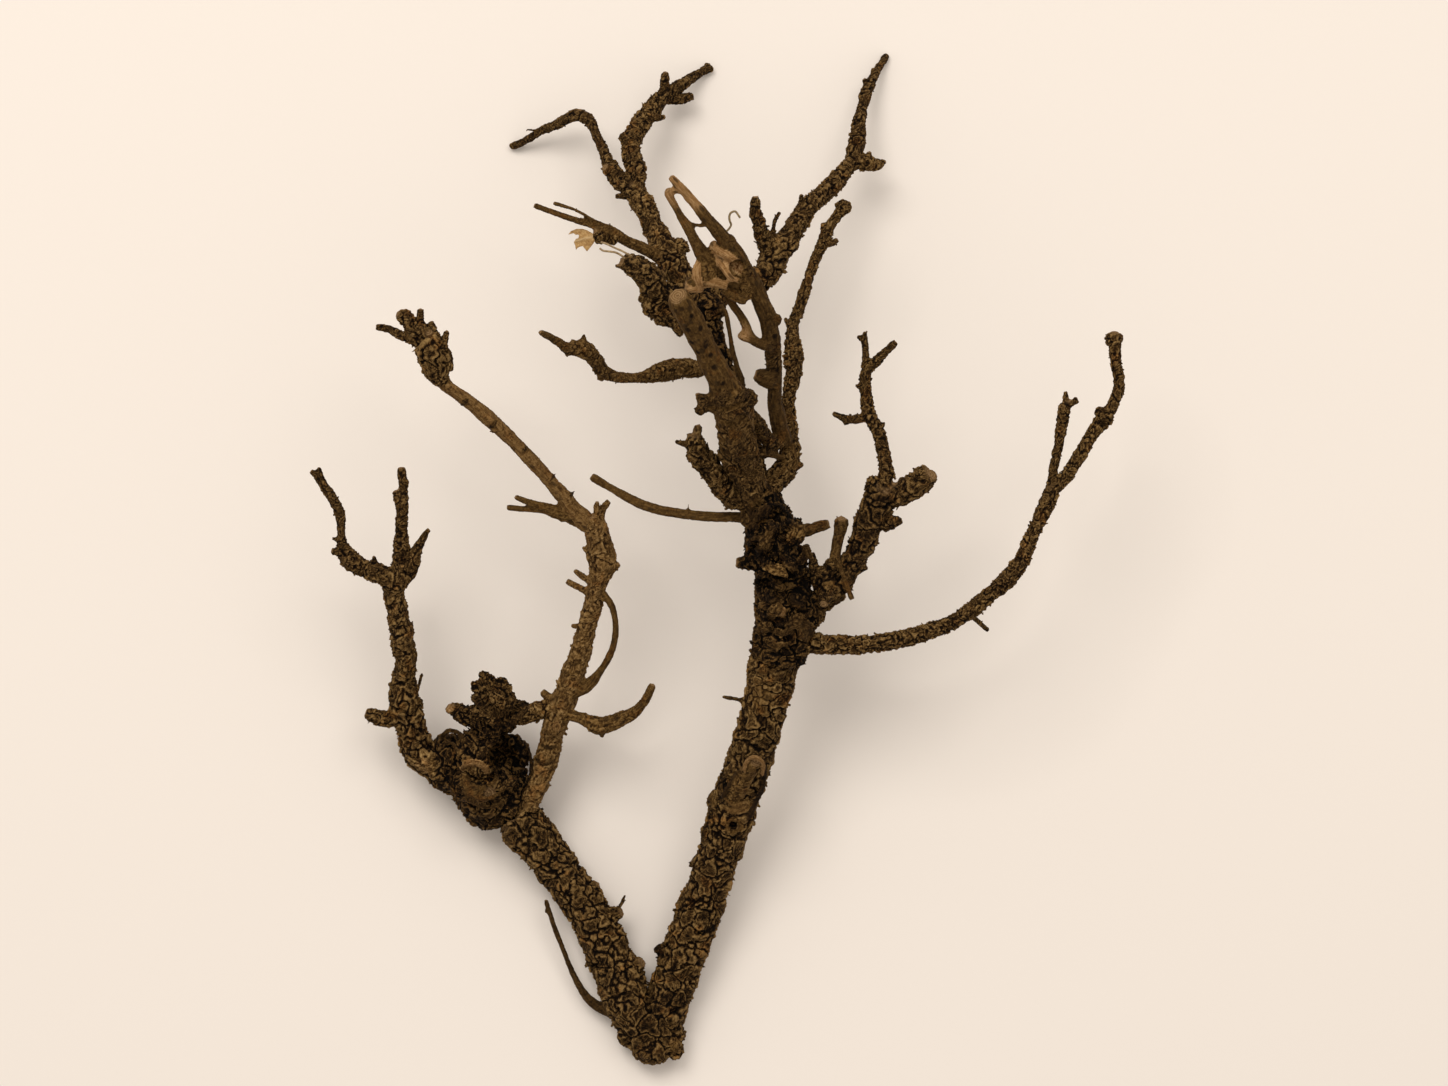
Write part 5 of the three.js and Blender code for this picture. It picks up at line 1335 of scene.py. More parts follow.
right_wood += limb(
    route=[
        [71.5, 168.5, 56.5, 1.9], [72, 173, 57.5, 2.3], [71.8, 177.5, 58.5, 2.1],
        [70.6, 183.3, 59.5, 2.1], [68.8, 188.5, 60.5, 2.2], [66.8, 192.5, 61, 2.2],
        [65.8, 198, 61.5, 1.9], [65.6, 202.5, 62, 1.9], [66, 206.5, 62.5, 1.9],
    ],
    stubs=[
        [[65.8, 205.5, 62.5, 1.5], [65.6, 212, 63.5, 1.1], [65.5, 217.8, 64.5, 1]],
        [[65.5, 214, 64, 0.8], [63, 216.4, 64.5, 0.8]],
        [[66, 205.5, 62.5, 1.7], [69, 208.5, 63, 1.6], [72, 211.5, 63.5, 1.3], [75.2, 214.6, 64, 1.3]],
        [[66.5, 191.8, 61, 1.7], [61.6, 190.6, 61, 1.5], [58, 191.5, 61.5, 1.2], [55.4, 192.8, 62, 0.9]],
        [[61.3, 190.6, 61, 1.1], [58.7, 189.1, 61, 0.7]],
        [[65, 200, 62, 1.1], [62.3, 201.2, 62.5, 0.7]],
        [[69.5, 187.5, 60.5, 1.2], [71.8, 190, 61, 0.7]],
    ],
)
grow_wood("right_upper_limb_wood", right_wood, ("right_upper_limb", "sawn_stub", "antler_twig"))

# The long bow grows out of the limb at the right of the heart and arcs out over the table. It is
# old thin wood in rough dark bark, and its two tines are broken off blunt.
bow_wood = limb(
    route=[
        [44, 122.8, 43, 2.6], [48.8, 122.4, 43.5, 3.1], [54.9, 122, 44, 2.9], [64, 121.9, 45, 2.7],
        [74.7, 123.3, 46.5, 2.5], [83, 125.5, 47.5, 2.6], [91.5, 128.6, 48.5, 2.4],
        [97.6, 132.3, 49, 2.4], [104, 137.5, 49.5, 2.4], [109.8, 142.7, 50, 2.8],
        [113.2, 147.6, 50.5, 2.5], [115.9, 154, 51, 2.3], [118.6, 160.1, 51.5, 2.3],
        [121.5, 166, 52, 2.5], [122.8, 170, 52.5, 2.4],
    ],
    stubs=[[[97, 131.5, 48, 1.2], [99.7, 129.3, 46.5, 1], [103.4, 126, 45, 0.9]]],
    tone=0.45,
)
bow_wood += limb(
    route=[
        [122.2, 168, 52, 1.4], [122.9, 175.7, 53, 1.5], [124.6, 182.7, 54, 1.6], [125.8, 190.9, 55, 2],
        [127, 196, 55.5, 1.9],
    ],
    stubs=[
        [[127, 195, 55.5, 1.3], [126.6, 199.6, 56, 0.9]],
        [[127, 195, 55.5, 1.3], [130.8, 196.8, 56, 1.2]],
    ],
    tone=0.5,
)
bow_wood += limb(
    route=[
        [123.3, 169.3, 52.5, 1.8], [127.2, 173.5, 52.5, 2.2], [131.5, 180.6, 52, 2],
        [135.4, 187, 51.5, 2], [138.5, 191, 51, 2.3], [141.2, 195.2, 50.5, 1.9], [143, 201.6, 50, 1.8],
        [142.1, 208.6, 50, 1.8], [141.8, 213.5, 50, 1.9], [141.5, 217.3, 50, 2.3],
    ],
    knots=[[141.4, 215.6, 50, 2.6], [137.3, 193, 52, 1.9]],
    tone=0.5,
)
grow_wood("right_bow", bow_wood, ("right_arc", "arc_left_tine", "arc_right_tine"))

# The thick stub rises towards the eye, and beside it the tall stem and its twin cross over
# everything else. Their bark is smoother and tan, and peels where the twin starts.
tall_wood = limb(
    route=[
        [30.5, 171, 56, 4.6], [27.6, 179.5, 63, 5.7], [26, 187.5, 71, 5.5], [24.7, 195.5, 79, 6],
        [21.3, 203.5, 86, 4.2], [17.7, 210.5, 92.5, 3.9], [14.3, 217, 99, 3.8], [9.6, 226, 108, 3.8],
        [8.2, 228.8, 111, 3.6],
    ],
    stubs=[[[21, 194.6, 80, 2.7], [17, 196, 81.5, 2.5], [14.4, 197.4, 82, 1.8]]],
    knots=[[29.5, 197, 79, 3.2]],
    tone=0.78, smooth=0.92,
)
tall_wood += limb(
    route=[
        [41.2, 183.5, 52, 2.4], [39.4, 188.5, 57, 2.8], [38.2, 195.2, 63, 2.5], [37.9, 201.3, 68, 2.4],
        [37.6, 208.9, 74, 2.5], [36.8, 216.6, 80, 2.7], [34.8, 224.5, 87, 2.8], [31.6, 231.4, 92, 2.8],
        [28.8, 236.8, 96, 2.7], [26, 241.8, 100, 2.5], [21.6, 246.8, 103, 2.3], [17.2, 252, 107, 1.9],
        [12.2, 258.1, 111, 1.7], [6, 265, 114, 1.4],
    ],
    stubs=[[[37.5, 202, 70, 2.8], [34.5, 203.5, 71, 2.8], [31.5, 204.5, 71.5, 2]]],
    knots=[[38, 221, 84, 2.2], [24, 245, 102, 2.6]],
    tone=0.55, smooth=0.9,
)
tall_wood += limb(
    route=[
        [31.5, 230, 91, 2.6], [26.8, 233, 93.5, 3.4], [21.5, 236.4, 96, 3.6], [17, 240.2, 99, 2.6],
        [14, 244.4, 102, 1.9], [11.3, 249.6, 105, 1.7], [8.5, 254.1, 108, 1.4], [6.4, 257.9, 110, 1.5],
        [5, 260.6, 112, 1.6],
    ],
    stubs=[
        [[20.5, 236, 96.5, 3.2], [14.5, 232.8, 97.5, 2.5], [10.7, 231.3, 98.5, 2.1]],
        [[11.8, 250.5, 105, 0.8], [16.5, 249.5, 106, 0.8]],
        [[5, 260.4, 111.5, 1.3], [9.8, 260.6, 111.8, 1.2]],
    ],
    tone=0.75, smooth=0.85,
)
tall_wood += limb(
    route=[
        [37, 212.5, 79, 1.7], [31.5, 215, 83, 1.7], [28, 221.7, 87.5, 1.5], [24.4, 226.8, 91, 1.4],
        [22.5, 232.5, 94, 1.5],
    ],
    stubs=[[[30.5, 215.3, 83.5, 1.6], [26.9, 216.6, 86, 1.5]]],
    tone=0.75, smooth=0.92,
)
tall_wood += limb(
    route=[[29.5, 194, 74, 1.8], [33, 189.5, 67, 2], [35.5, 184.8, 60, 2.3], [39.5, 182.5, 54, 2]],
    stubs=[[[35.5, 184.5, 60, 1.4], [35, 179.8, 58.5, 1.2], [31, 179.5, 61.5, 1.1]]],
    tone=0.3,
)
tall_wood += [strand(flap, tone, smooth) for tone, smooth, flap in (
    (1.5, 0.9, [[15.9, 230.3, 97, 1.4], [12.8, 230.6, 98.5, 1.7], [10.4, 231.5, 99, 1.8]]),
    (1.5, 0.9, [[14.9, 239.1, 99, 1], [14, 235.8, 100, 1.5], [14.9, 231.8, 99, 1.3]]),
    (0.75, 0.7, [[16.2, 238.8, 98, 2], [17.7, 235.5, 99, 2.6], [18.9, 231.5, 98, 2.2]]),
    (1.4, 0.8, [
         [18.9, 244.6, 99, 1.2], [21, 242.2, 101, 2], [24.1, 240.3, 101.5, 1.8],
         [26.5, 238.8, 100.5, 1.2]]),
    (1.55, 0.8, [
         [20.7, 239.7, 99.5, 1.3], [22.6, 237, 101, 1.6], [24.7, 234.2, 100.5, 1.5],
         [26.8, 233, 99, 1]]),
    (1.3, 0.8, [[16.2, 232.1, 98.5, 1.6], [20.1, 232.4, 100, 1.8], [23.8, 231.2, 99.5, 1.5]]),
    (0.85, 0.7, [[22, 230.3, 97, 1.6], [25.6, 228.1, 96, 1.7], [29.3, 226.3, 94, 1.4]]),
    (0.6, 0.8, [
         [30.5, 180.9, 61, 1.3], [32.9, 180.6, 60.5, 1.3], [36.6, 179.9, 58, 1.2],
         [40.6, 179, 54, 1.1]]),
)]
tall_wood += [vein(tall_wood, line, tone, 0.3) for tone, line in (
    (1.0, [[27.1, 233, 0.3, 0.4], [28.4, 233.6, 0.3, 0.45], [29.9, 231.5, 0.3, 0.45],
        [31.1, 228.4, 0.3, 0.45], [30.5, 227.2, 0.2, 0.45], [29, 228.8, 0.3, 0.45],
        [27.4, 230.9, 0.3, 0.4], [27.1, 232.7, 0.3, 0.4]]),
    (1.0, [[28.1, 232.4, 0.2, 0.25], [29.3, 230.3, 0.2, 0.3], [30.2, 228.1, 0.2, 0.25]]),
    (0.9, [[29, 232.7, 0.1, 0.2], [30.2, 230.6, 0.1, 0.25], [30.8, 228.8, 0.1, 0.2]]),
    (0.45, [[23.5, 185.4, 0.2, 0.6], [26.5, 177.8, 0.3, 0.7], [28.7, 168.7, 0.2, 0.6]]),
    (0.45, [[30.5, 185.4, 0.2, 0.6], [31.7, 177.8, 0.3, 0.7], [31.1, 169.3, 0.2, 0.6]]),
    (0.6, [[15.2, 194.3, 0.3, 0.8], [18.9, 196.1, 0.5, 1.1], [23.2, 195.5, 0.4, 1],
        [26.8, 197.3, 0.3, 0.8]]),
    (0.5, [[22, 191.2, 0.3, 0.8], [25.9, 192.8, 0.4, 1], [29.9, 192.2, 0.3, 0.8]]),
)]
tall_wood += [vein(tall_wood, sheath, tone, 0.85, flat=0.7) for tone, sheath in (
    (0.6, [[25, 189.4, 0, 1.8], [26.5, 185.1, 0.9, 2.9], [28.4, 180.9, 1.3, 3.1], [30.2, 177.5, 1.1, 2.4],
        [30.8, 175.4, 0.3, 1]]),
    (0.65, [[29.3, 172.9, 0, 1.4], [30.5, 170.2, 1.1, 2.8], [31.7, 167.1, 1.6, 3.5],
        [32.3, 164.1, 0.6, 2.1]]),
)]
tall_wood += [vein(tall_wood, rim, tone, 0.5) for tone, rim in (
    (0.85, [[23.8, 188.2, 0.3, 0.5], [24.7, 183.3, 0.5, 0.6], [26.8, 178.4, 0.5, 0.6],
        [29.9, 174.5, 0.4, 0.6], [32.6, 176.9, 0.4, 0.6], [32.9, 181.8, 0.4, 0.5]]),
    (0.8, [[27.1, 175.4, 0.3, 0.5], [27.4, 171.7, 0.5, 0.7], [27.8, 167.8, 0.4, 0.7],
        [29.3, 164.1, 0.3, 0.6]]),
    (0.8, [[21.7, 175.4, 0.3, 0.5], [24.4, 173.5, 0.5, 0.7], [28.1, 174.2, 0.4, 0.7],
        [31.1, 172.9, 0.4, 0.6], [34.5, 174.2, 0.3, 0.5]]),
    (0.7, [[34.8, 165.3, 0.3, 0.5], [35.4, 162.6, 0.4, 0.6], [34.2, 160.1, 0.3, 0.5]]),
    (0.75, [[22.6, 170.2, 0.3, 0.5], [24.7, 167.8, 0.5, 0.6], [25.9, 170.2, 0.4, 0.6],
        [26.5, 173.2, 0.3, 0.5]]),
    (0.9, [[29.9, 191.5, 0.2, 0.4], [30.8, 188.8, 0.4, 0.5], [32, 186, 0.4, 0.5],
        [34.2, 184.5, 0.2, 0.4]]),
)]
tall_wood += [vein(tall_wood, plate, tone, 0.3, flat=0.4) for tone, plate in (
    (0.35, [[17.7, 195.2, 0, 1.2], [15.6, 197, 0.6, 1.9], [13.7, 198.9, 1, 0.7]]),
    (0.3, [[17.4, 193.4, 0, 1.2], [14.9, 193.4, 0.6, 1.7], [13.1, 194.3, 0.9, 0.6]]),
    (0.45, [[19.5, 195.8, 0.2, 1], [22, 197.3, 1.2, 1.7], [24.4, 199.2, 1.6, 0.6]]),
    (0.5, [[20.7, 193.1, 0.2, 1], [23.8, 191.5, 1.2, 1.9], [26.5, 190.6, 1.4, 0.8]]),
    (0.35, [[25.6, 196.1, 0.2, 1], [28.1, 197.9, 1.2, 1.7], [30.2, 200.1, 1.4, 0.6]]),
    (0.4, [[27.4, 193.1, 0.2, 1], [29.9, 194.6, 1.2, 1.5], [32, 195.8, 1.4, 0.6]]),
    (0.5, [[23.5, 184.5, 0.2, 1], [25.3, 181.5, 1, 1.8], [26.5, 178.1, 1.2, 0.8]]),
    (0.5, [[29.9, 185.7, 0.2, 1], [31.1, 182.4, 1, 1.8], [31.4, 179, 1.2, 0.8]]),
    (0.5, [[25.9, 175.4, 0.2, 1], [28.1, 172.6, 1, 1.9], [29.6, 169.9, 1.2, 0.8]]),
    (0.4, [[32.9, 176.9, 0.2, 1], [32.6, 173.5, 1, 1.7], [31.4, 170.5, 1.2, 0.8]]),
)]
stem_spots = [(x, y, lying_height(tall_wood, x, y), 1.15, -0.35, 0.85) for x, y in [
    [9.8, 224.2], [12.8, 222], [14.9, 223.9], [11.3, 217.8], [15.6, 218.4], [12.5, 214.1],
    [17.1, 212.9], [14.3, 211.1], [18.6, 210.1], [15.2, 205.6], [19.5, 206.5], [22, 201.9], [18, 199.8],
    [30.8, 238.8], [32.9, 234.2], [34.2, 228.4], [36.9, 222.3], [38.1, 215.9], [38.7, 205.6],
    [36.6, 199.5], [10.1, 258.6], [25.3, 244.6], [28.1, 240.9],
]]
grow_wood("tall_stems", tall_wood,
          ("thick_stub", "tall_stem", "twin_twig", "cross_twig", "twisted_strand"),
          cell=0.4, flakes=0.008,
          hollows=((26.6, 236.7, 100.5, 2.6, 1.3),),
          patches=(
              *stem_spots,
              (27.5, 180, 63, 13, 0.4, 0.15), (26, 188, 71, 12, 0.5, 0.3), (30, 172, 57, 11, 0.25, 0.0),
              (22.5, 199, 82, 2.2, -0.8, 0.3), (26, 197, 84, 2, -0.8, 0.2),
              (17.5, 214, 101, 1.6, 0.0, 0.8), (26.9, 237, 97, 3.4, 1.5, 0.3),
              (9, 228, 111, 4.5, 0.95, 0.9), (23.5, 238.5, 99, 3, 1.35, 0.6), (6, 265, 114, 9, 1.5, 0.95),
              (5, 260.5, 112, 7, 1.5, 0.9), (12.5, 257.5, 110, 7, 1.4, 0.95), (11, 251, 106, 5, 1.1, 0.9),
              (18, 251, 106, 5, 0.9, 0.95), (17.5, 235.5, 97, 3, -0.9, 0), (20.5, 230.5, 92, 4, -0.9, 0),
              (31, 236, 97, 3, 0.3, 0.6), (25.5, 232, 93, 3, -0.5, 0.3), (27, 217, 86, 6, 1.4, 0.6),
              (30, 198, 81, 6, 0.25, 0.2), (37, 210, 76, 8, 0.35, 0.5),
          ))

# The rear stem turns out of the heart to the right and runs up to a knobby head.
rear_wood = limb(
    route=[
        [33.5, 167.5, 53, 3.5], [38.1, 171.7, 52, 3.6], [41.8, 176, 50.5, 3.5], [42.7, 181.5, 49.5, 3],
        [42.4, 186.7, 49, 2.7], [41.8, 192.5, 48, 2.4], [42.4, 198.2, 47, 2.2], [43.6, 204, 46, 2.5],
        [43.9, 209.2, 45, 3], [43.3, 213.8, 44.5, 2.4], [43.4, 219, 43.5, 2], [45.4, 224.2, 42.5, 1.9],
        [47.6, 231.5, 41, 1.8], [49.8, 238.5, 40, 1.7], [52.4, 244.3, 39, 1.8], [54, 248.6, 38.5, 2],
        [56.5, 252, 38, 1.6], [58.8, 255, 37.5, 2],
    ],
    stubs=[
        [[52.5, 244.5, 39, 1.3], [55.2, 244.3, 39.5, 1.2], [57.4, 245.8, 40, 1]],
        [[53.3, 248, 38.5, 1.2], [52.2, 250.9, 39, 0.8]],
        [[43, 217.5, 44, 1.2], [40.9, 221.9, 45, 0.8]],
        [[43.5, 176, 50.5, 1.4], [47, 177.3, 51, 0.8]],
    ],
    knots=[[58.8, 255.4, 37.5, 2.3]],
    tone=0.52,
)
rear_wood += [vein(rear_wood, ridge, 0.75, 0.5) for ridge in (
    [[41.8, 194.3, 0.2, 0.4], [40.6, 189.1, 0.4, 0.5], [41.5, 184.5, 0.4, 0.6], [40.3, 179.9, 0.3, 0.5],
        [41.2, 176.6, 0.3, 0.5], [39.3, 173.2, 0.2, 0.4]],
    [[42.7, 193.7, 0.2, 0.4], [43.6, 187.6, 0.4, 0.5], [43, 183, 0.4, 0.6], [44.5, 179, 0.3, 0.5],
        [43.9, 175.4, 0.2, 0.4]],
)]
grow_wood("rear_stem_wood", rear_wood, ("rear_stem",))

# The back stem runs behind the thick stub to the burl at the root of the top. The gnarl, the
# thin stem and the long branch to the left leave it there.
back_wood = limb(
    route=[
        [32, 168, 51.5, 4], [30.5, 180, 50, 4.2], [27.5, 190.6, 47, 4.2], [24.7, 199.8, 44.5, 4.1],
        [20.7, 208.3, 42.5, 4.1], [18, 215.6, 41, 4.1], [16.8, 222.7, 40, 4.5], [14.3, 228.4, 39, 4.7],
        [10.7, 233.3, 38, 4.1],
    ],
    knots=[[18, 224.5, 42, 4.6]],
    tone=0.0, smooth=-0.2,
)
back_wood += limb(
    route=[
        [19.5, 225, 43, 0.9], [22.6, 223.9, 45.5, 1], [24.1, 217.8, 46.5, 1], [25, 212, 47.5, 1],
        [26.5, 206.8, 48, 1], [28, 202.5, 48, 1.1], [27, 197, 47, 1],
    ],
    smooth=0.8,
)
back_wood += limb(
    route=[
        [12.5, 229.3, 40, 3.4], [6.7, 227.2, 43, 4.5], [2.1, 229.7, 45, 4.6], [-0.6, 234.2, 47, 4.1],
        [-4, 237, 48.5, 3.6], [-6.7, 238.2, 49.5, 2.8], [-9.2, 239, 50.5, 1.7],
    ],
    stubs=[
        [[0, 227, 45, 2.4], [-4, 227.7, 46, 0.9]],
        [[6, 222, 43.5, 2.2], [9.8, 215.9, 45, 1.2]],
        [[-6, 237, 49, 1.2], [-11, 237.6, 50, 0.7]],
    ],
    knots=[[1.5, 225.7, 44, 4.1], [4.6, 221.9, 43.5, 3]],
    tone=0.36,
)
back_wood += limb(
    route=[
        [19.5, 207.5, 44, 2.3], [15.3, 206, 46.5, 2.6], [9.8, 206.2, 50, 3], [4.9, 205.5, 54, 3.2],
        [1.2, 204.4, 57, 2.6], [-3.4, 203.4, 61, 1.8], [-9.8, 203.6, 65, 1.8], [-14.4, 205.4, 69, 2.2],
        [-17, 209.2, 73, 2.3], [-20.6, 212.4, 77, 2.8], [-25, 212.3, 80, 2], [-28.9, 214.8, 83, 1.4],
        [-33.9, 217.5, 87, 1.1],
    ],
    stubs=[
        [[-20.4, 213, 78, 1.6], [-20.2, 216.9, 79.5, 0.6]],
        [[-22, 213, 78, 1.3], [-24.2, 215.2, 79, 0.7]],
        [[-14.5, 205, 68.5, 1.5], [-15.6, 202.2, 68.5, 1.2]],
        [[-24, 212, 79, 1.3], [-25.9, 209.8, 79, 0.9]],
    ],
    tone=0.75, smooth=0.45,
)
grow_wood("back_stem_wood", back_wood, ("back_stem", "thin_stem", "gnarl", "mid_left_branch"))

# The branches of the top left grow down from the burl and thin out to twigs. They are dry wood in
# dark bark, knobby at each fork, and two of their tips touch the table.
upper_left_wood = limb(
    route=[
        [12.5, 231.5, 37.5, 3.4], [7.7, 237.6, 35.5, 4.4], [4.9, 242.5, 33, 4], [1.2, 248.6, 30, 3.2],
        [-0.7, 253.5, 28, 3], [-3.1, 257.7, 26, 3.5], [-4.9, 260.2, 25, 3.2],
    ],
    stubs=[[[-5, 259, 25.5, 1.5], [-11, 258.7, 26, 0.9]]],
    knots=[[8.8, 243, 34, 2.8], [-4.6, 259.8, 25, 3.5]],
    tone=0.48,
)
upper_left_wood += limb(
    route=[
        [-5.6, 260.6, 24.8, 2.1], [-9, 263, 24, 2.5], [-11.3, 266.3, 22.5, 2.4], [-13.2, 269.9, 21, 1.9],
        [-14.6, 273.6, 19, 1.6], [-16.8, 277.9, 17, 1.6], [-18.3, 281.5, 15, 1.7],
        [-21.4, 283.3, 13.5, 2], [-25.3, 282.4, 11.5, 1.8], [-29.3, 280.3, 9.5, 1.5],
        [-33.2, 278.8, 7, 1.4], [-36.6, 276.6, 5, 1.3], [-40, 274.8, 2.6, 1.3], [-42.6, 273.8, 0.8, 1.5],
    ],
    stubs=[
        [[-10, 264.8, 23.5, 2], [-14.2, 267.9, 26, 1.9]],
        [[-34, 278.6, 7, 0.7], [-37.8, 279.2, 9, 0.5]],
        [[-21.4, 283.3, 13.5, 1.2], [-21.6, 285.5, 14.5, 0.9]],
    ],
)
upper_left_wood += limb(
    route=[
        [-4.4, 260.5, 25, 2.2], [-3.9, 265, 24, 2.7], [-4.9, 269, 22, 2.8], [-6, 273.9, 20, 2.8],
        [-4.6, 278, 18, 2.9], [-2, 281.8, 16, 2.8], [0.6, 285.4, 14, 2.8], [3, 288.4, 12, 2.4],
        [6, 290.6, 10, 2.1], [9.5, 292.9, 7.5, 1.9], [13.1, 295.1, 4.8, 1.5], [16.5, 297.1, 2.4, 1.4],
        [18.6, 298.2, 1, 1.9],
    ],
    stubs=[
        [[4, 290, 12.5, 1.6], [4.4, 293.8, 13.5, 1.5], [4.6, 297, 14.5, 1.2]],
        [[3.5, 288.3, 10, 1.6], [8.8, 288.2, 8.5, 1.5], [13.4, 289.4, 7, 1.5]],
        [[-1.5, 282, 16.5, 1.4], [4.9, 283, 18, 1.1]],
    ],
    knots=[[-7.8, 276.3, 19, 1.9]],
)
upper_left_wood += limb(
    route=[
        [6, 239.5, 34.5, 2], [1.2, 241.2, 36, 2.1], [-2.2, 242.9, 38, 1.9], [-6.9, 244.9, 40, 1.8],
        [-10.7, 247, 42, 2], [-14, 248.2, 43.5, 2.3], [-16.3, 248.2, 44, 1.8],
    ],
    stubs=[
        [[-14, 248.8, 44, 1.3], [-26.8, 252.8, 46, 1.1], [-35.7, 256.2, 48, 1.1]],
        [[-12.5, 249, 44.5, 1.1], [-17.1, 251.3, 45.5, 0.8], [-22.6, 254.5, 47, 0.7],
         [-29.8, 256.8, 48.5, 0.9]],
    ],
    tone=0.75, smooth=0.65,
)
upper_left_wood += [burl(-15.3, 246.9, 43.6, 2.5, tone=0.45), burl(-11.8, 245.9, 42.6, 2.2, tone=0.5)]
grow_wood("upper_left_limb_wood", upper_left_wood,
          ("upper_left_limb", "upper_left_twig", "upper_middle_twig", "twig_pair"))

# The branches of the top right grow from the same burl, down to the table. They are dry wood in
# dark bark, with a wedge of paler split wood at their last fork.
upper_right_wood = limb(
    route=[
        [17.5, 226, 39.5, 3], [22.9, 229.4, 39, 3.4], [29.9, 231.5, 38, 3.8], [35.4, 234.9, 36.5, 4],
        [38.8, 241.5, 34, 4.2], [42.2, 245.6, 32, 3.6], [44.6, 250.2, 30, 3.1], [47.6, 254.9, 27.5, 3.1],
        [51.5, 258.7, 25, 2.8], [55.4, 262.4, 22.5, 2.7], [59.2, 266.1, 20, 2.5], [61.9, 269.3, 18, 2.6],
    ],
    stubs=[
        [[46.2, 255, 28.5, 1.1], [46, 259.6, 31, 0.9]],
        [[37.5, 243.5, 35, 1.1], [37.8, 250.6, 37, 0.9], [39.7, 254.2, 38, 0.8]],
    ],
    knots=[[61.9, 269.3, 17.8, 2.9]],
)
upper_right_wood += limb(
    route=[
        [36.8, 240.5, 35, 2.2], [34.5, 245.5, 37, 2.4], [33.2, 250.1, 39, 2.2], [32, 254.7, 41, 1.8],
        [32.2, 259, 43, 1.4],
    ],
    stubs=[[[32.7, 252.3, 40, 1.2], [29.9, 252.9, 41, 0.7]]],
)
upper_right_wood += limb(
    route=[
        [61.8, 270.3, 17.6, 2], [62.5, 273, 16.5, 2.5], [63.1, 276.6, 15, 2.5], [63.7, 280.9, 13, 2.2],
        [64.7, 285.8, 10.5, 1.7], [65.6, 289.4, 8.5, 1.9], [67.1, 293.1, 6.5, 1.7],
        [68.9, 296.5, 4.6, 1.4], [70.5, 299.2, 2.6, 1.2], [72.3, 302.2, 0.7, 1.3],
    ],
    stubs=[
        [[66.5, 292, 7, 1.1], [65, 294.9, 8, 1]],
        [[68.2, 295.5, 5.5, 1], [67.9, 298.2, 6.5, 0.9]],
    ],
)
upper_right_wood += limb(
    route=[
        [62, 269.4, 17.8, 1.9], [64.5, 269.3, 17.5, 2.6], [67.1, 268.7, 17, 2.3],
        [69.8, 268.7, 16.5, 1.6], [72, 269.6, 16, 0.8],
    ],
    stubs=[[[66.3, 269.8, 17.5, 1.3], [67, 272.6, 18.5, 0.9]]],
    tone=0.75,
)
grow_wood("upper_right_limb_wood", upper_right_wood,
          ("upper_right_limb", "upper_right_side_twig", "upper_right_twig", "upper_right_wedge"))

# A torn dry leaf is stuck to the twig pair by its base. It is papery and brittle, with two points,
# a hole, and a curl at its upper edge.
LEAF_HEIGHT = 44.0
LEAF_SLOPE = 0.25
LEAF_PAPER = 0.22


def paper(name):
    """Dry leaf: tan, mottled, with a paler rib and fine veins that branch from it."""
    leaf, tree, shader, here = new_finish(name)
    mottle = grain_noise(tree, here, 0.9, 4.0, 0.65)
    veins = cells(tree, here, 0.95, "DISTANCE_TO_EDGE").outputs["Distance"]
    rib = attribute(tree, "rib")
    shade = ramp(tree, mottle, (
        (0.3, (0.24, 0.125, 0.04)), (0.5, (0.40, 0.24, 0.09)), (0.7, (0.55, 0.37, 0.17)),
    ))
    veined = blend(tree, ease(tree, veins, 0.0, 0.07, 0.55, 0.0), shade, (0.2, 0.1, 0.035))
    ribbed = blend(tree, rib, veined, (0.66, 0.48, 0.26))
    tree.links.new(ribbed, shader.inputs["Base Color"])
    shader.inputs["Roughness"].default_value = 0.75
    shader.inputs["Specular IOR Level"].default_value = 0.2
    raised(tree, shader, mottle, 0.6, 0.2)
    return leaf


leaf_outline = [
         [-16.7, 246.8], [-17.9, 247.6], [-19.3, 248.4], [-20.7, 248.8], [-22.4, 248.8], [-24.2, 248.1],
         [-24.9, 247.1], [-23.4, 247.5], [-22.7, 247], [-22.1, 247.1], [-21.7, 246.8], [-21.9, 246],
         [-22.7, 245.7], [-23.3, 244.8], [-22.9, 243.8], [-22.6, 242.4], [-22.2, 243], [-21.5, 243.4],
         [-20.6, 243.6], [-20, 242.8],
         [-19.3, 241.9], [-18.3, 243.1], [-17.3, 244.4], [-16.6, 245.6]]
leaf_mesh = bpy.data.meshes.new("torn_leaf")
blade = bmesh.new()
blade.faces.new([blade.verts.new((x, y, 0)) for x, y in leaf_outline])
blade.normal_update()
bmesh.ops.triangulate(blade, faces=blade.faces[:])
for _ in range(3):
    bmesh.ops.subdivide_edges(blade, edges=blade.edges[:], cuts=1)
    bmesh.ops.triangulate(blade, faces=blade.faces[:])
bmesh.ops.recalc_face_normals(blade, faces=blade.faces[:])
leaf_base = leaf_outline[0]
ribs = []
for corner in blade.verts:
    x, y = corner.co.x, corner.co.y
    off_rib = abs((y - leaf_base[1]) - 0.27 * (x - leaf_base[0]))
    ribs.append(max(0.0, 1.0 - off_rib / 0.35))
    height = LEAF_HEIGHT + (x - leaf_base[0]) * LEAF_SLOPE
    height += 0.9 * noise.noise(Vector((x, y, 4.0)) / 2.6) + 0.35 * max(0.0, 1.0 - off_rib / 1.2)
    height += 0.16 * max(0.0, y - 247.2) ** 2
    corner.co = place(x, y, height)
blade.to_mesh(leaf_mesh)
blade.free()
if leaf_mesh.polygons[0].normal.z < 0:
    leaf_mesh.flip_normals()
keep(leaf_mesh, "rib", "FLOAT", ribs)
torn_leaf = in_scene("torn_leaf", leaf_mesh)
thin = torn_leaf.modifiers.new("paper", "SOLIDIFY")
thin.thickness = LEAF_PAPER
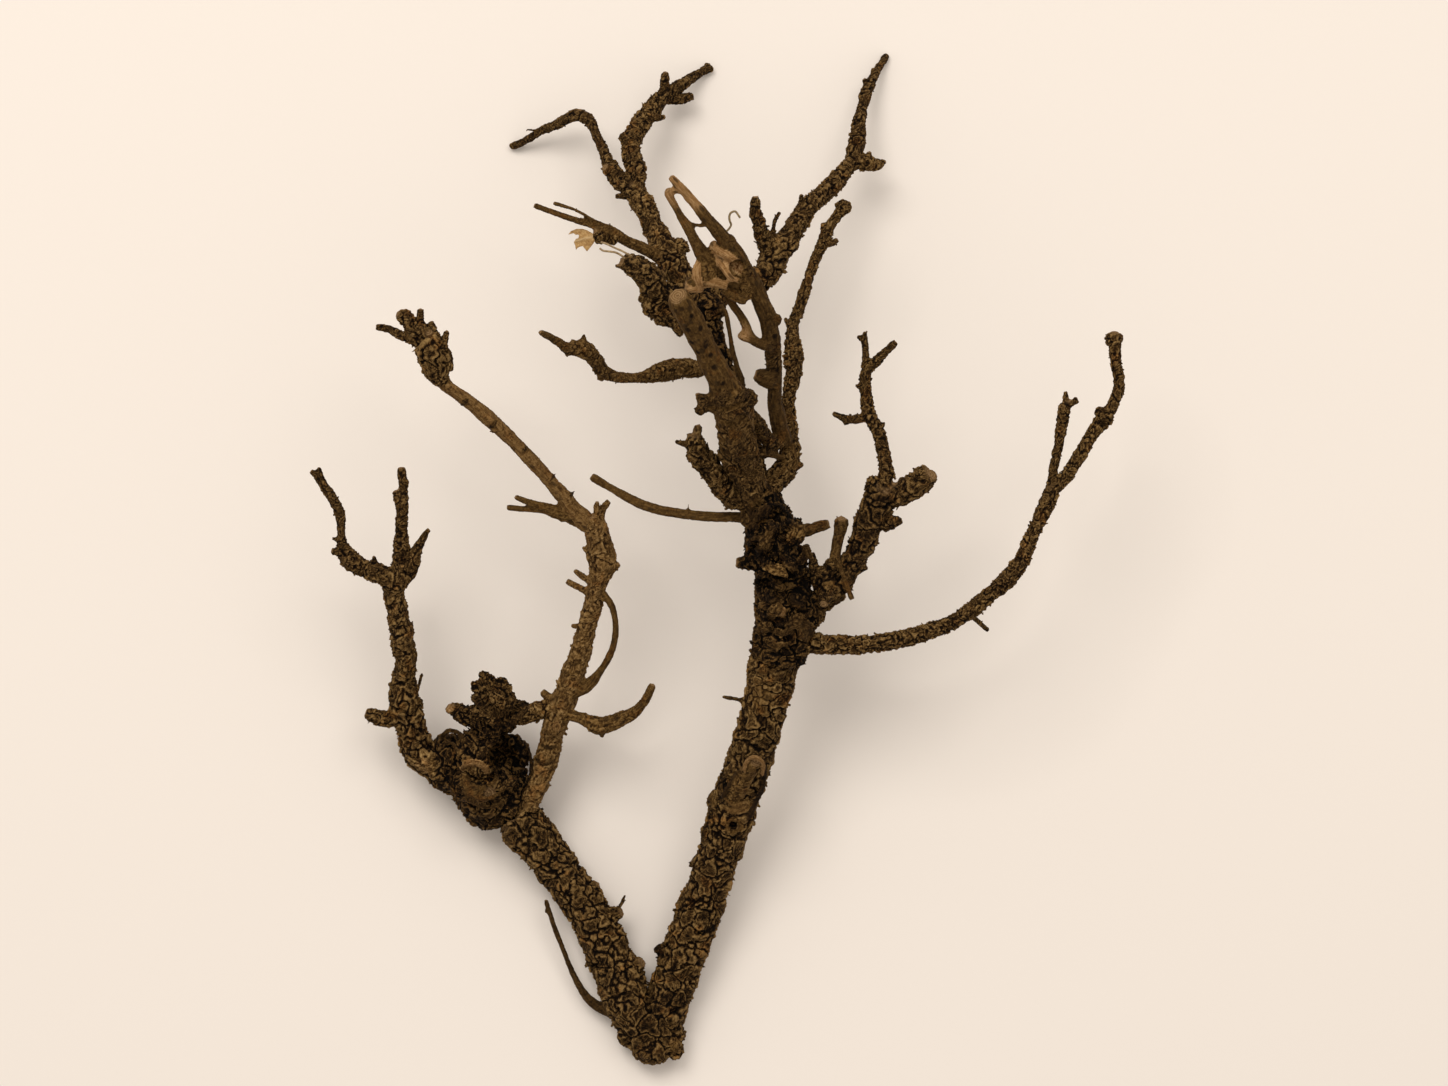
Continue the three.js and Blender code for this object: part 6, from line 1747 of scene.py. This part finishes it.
thin.offset = 0.0
leaf_mesh = plain_mesh(torn_leaf)
lay_flat(leaf_mesh)
leaf_mesh.materials.append(paper("leaf_paper"))
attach(torn_leaf, "root")
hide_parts("dried_leaf")

# Fine dry things hang on the wood: a hooked tendril on the tall stem and two straws at the tip
# of the gnarl. They are single strands, some tenths of a millimetre thick.
def straw_finish(name, pale, dark):
    """Dry straw: streaked along its length."""
    straw, tree, shader, here = new_finish(name)
    streak = grain_noise(tree, here, 1.4, 3.0, 0.6)
    tree.links.new(ramp(tree, streak, ((0.35, dark), (0.65, pale))), shader.inputs["Base Color"])
    shader.inputs["Roughness"].default_value = 0.6
    return straw


def fine_strands(name, routes, finish):
    mesh = joined_mesh(name, [
        round_skin(strand(route, 0.5, 1.0, pitch=0.35), seed + 0.5) for seed, route in enumerate(routes)])
    lay_flat(mesh)
    mesh.materials.append(finish)
    piece = in_scene(name, mesh)
    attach(piece, "root")


fine_strands("tendril", (
    [[27.4, 252.2, 104.5, 0.13], [26.5, 253.5, 105, 0.17], [26, 254.1, 105, 0.2],
        [24.9, 253.9, 105, 0.24], [24.3, 253.3, 104.8, 0.28], [24.1, 252.2, 104.4, 0.3],
        [24.3, 251.1, 104, 0.3], [24.7, 250.1, 103.5, 0.3], [24.1, 248.9, 103.2, 0.2],
        [22.6, 247.5, 102.6, 0.16], [21, 246.3, 102, 0.16]],
), straw_finish("tendril_skin", (0.28, 0.2, 0.09), (0.09, 0.055, 0.02)))
fine_strands("straws", (
    [[-15, 244.8, 52.5, 0.2], [-13.1, 244.1, 52.2, 0.22], [-11, 243.1, 51.8, 0.24],
        [-8.5, 242, 51.2, 0.25], [-6.5, 240.9, 50.6, 0.26], [-4.9, 239.9, 50, 0.26]],
    [[-15.4, 242.9, 53, 0.22], [-14.5, 242.2, 52.8, 0.3], [-12.5, 241.9, 52.3, 0.34],
        [-10.6, 241.6, 51.8, 0.34], [-9, 240.8, 51.2, 0.32], [-7, 239.2, 50.4, 0.3],
        [-5.2, 238.2, 49.6, 0.3]],
), straw_finish("dry_straw", (0.42, 0.3, 0.15), (0.17, 0.1, 0.04)))
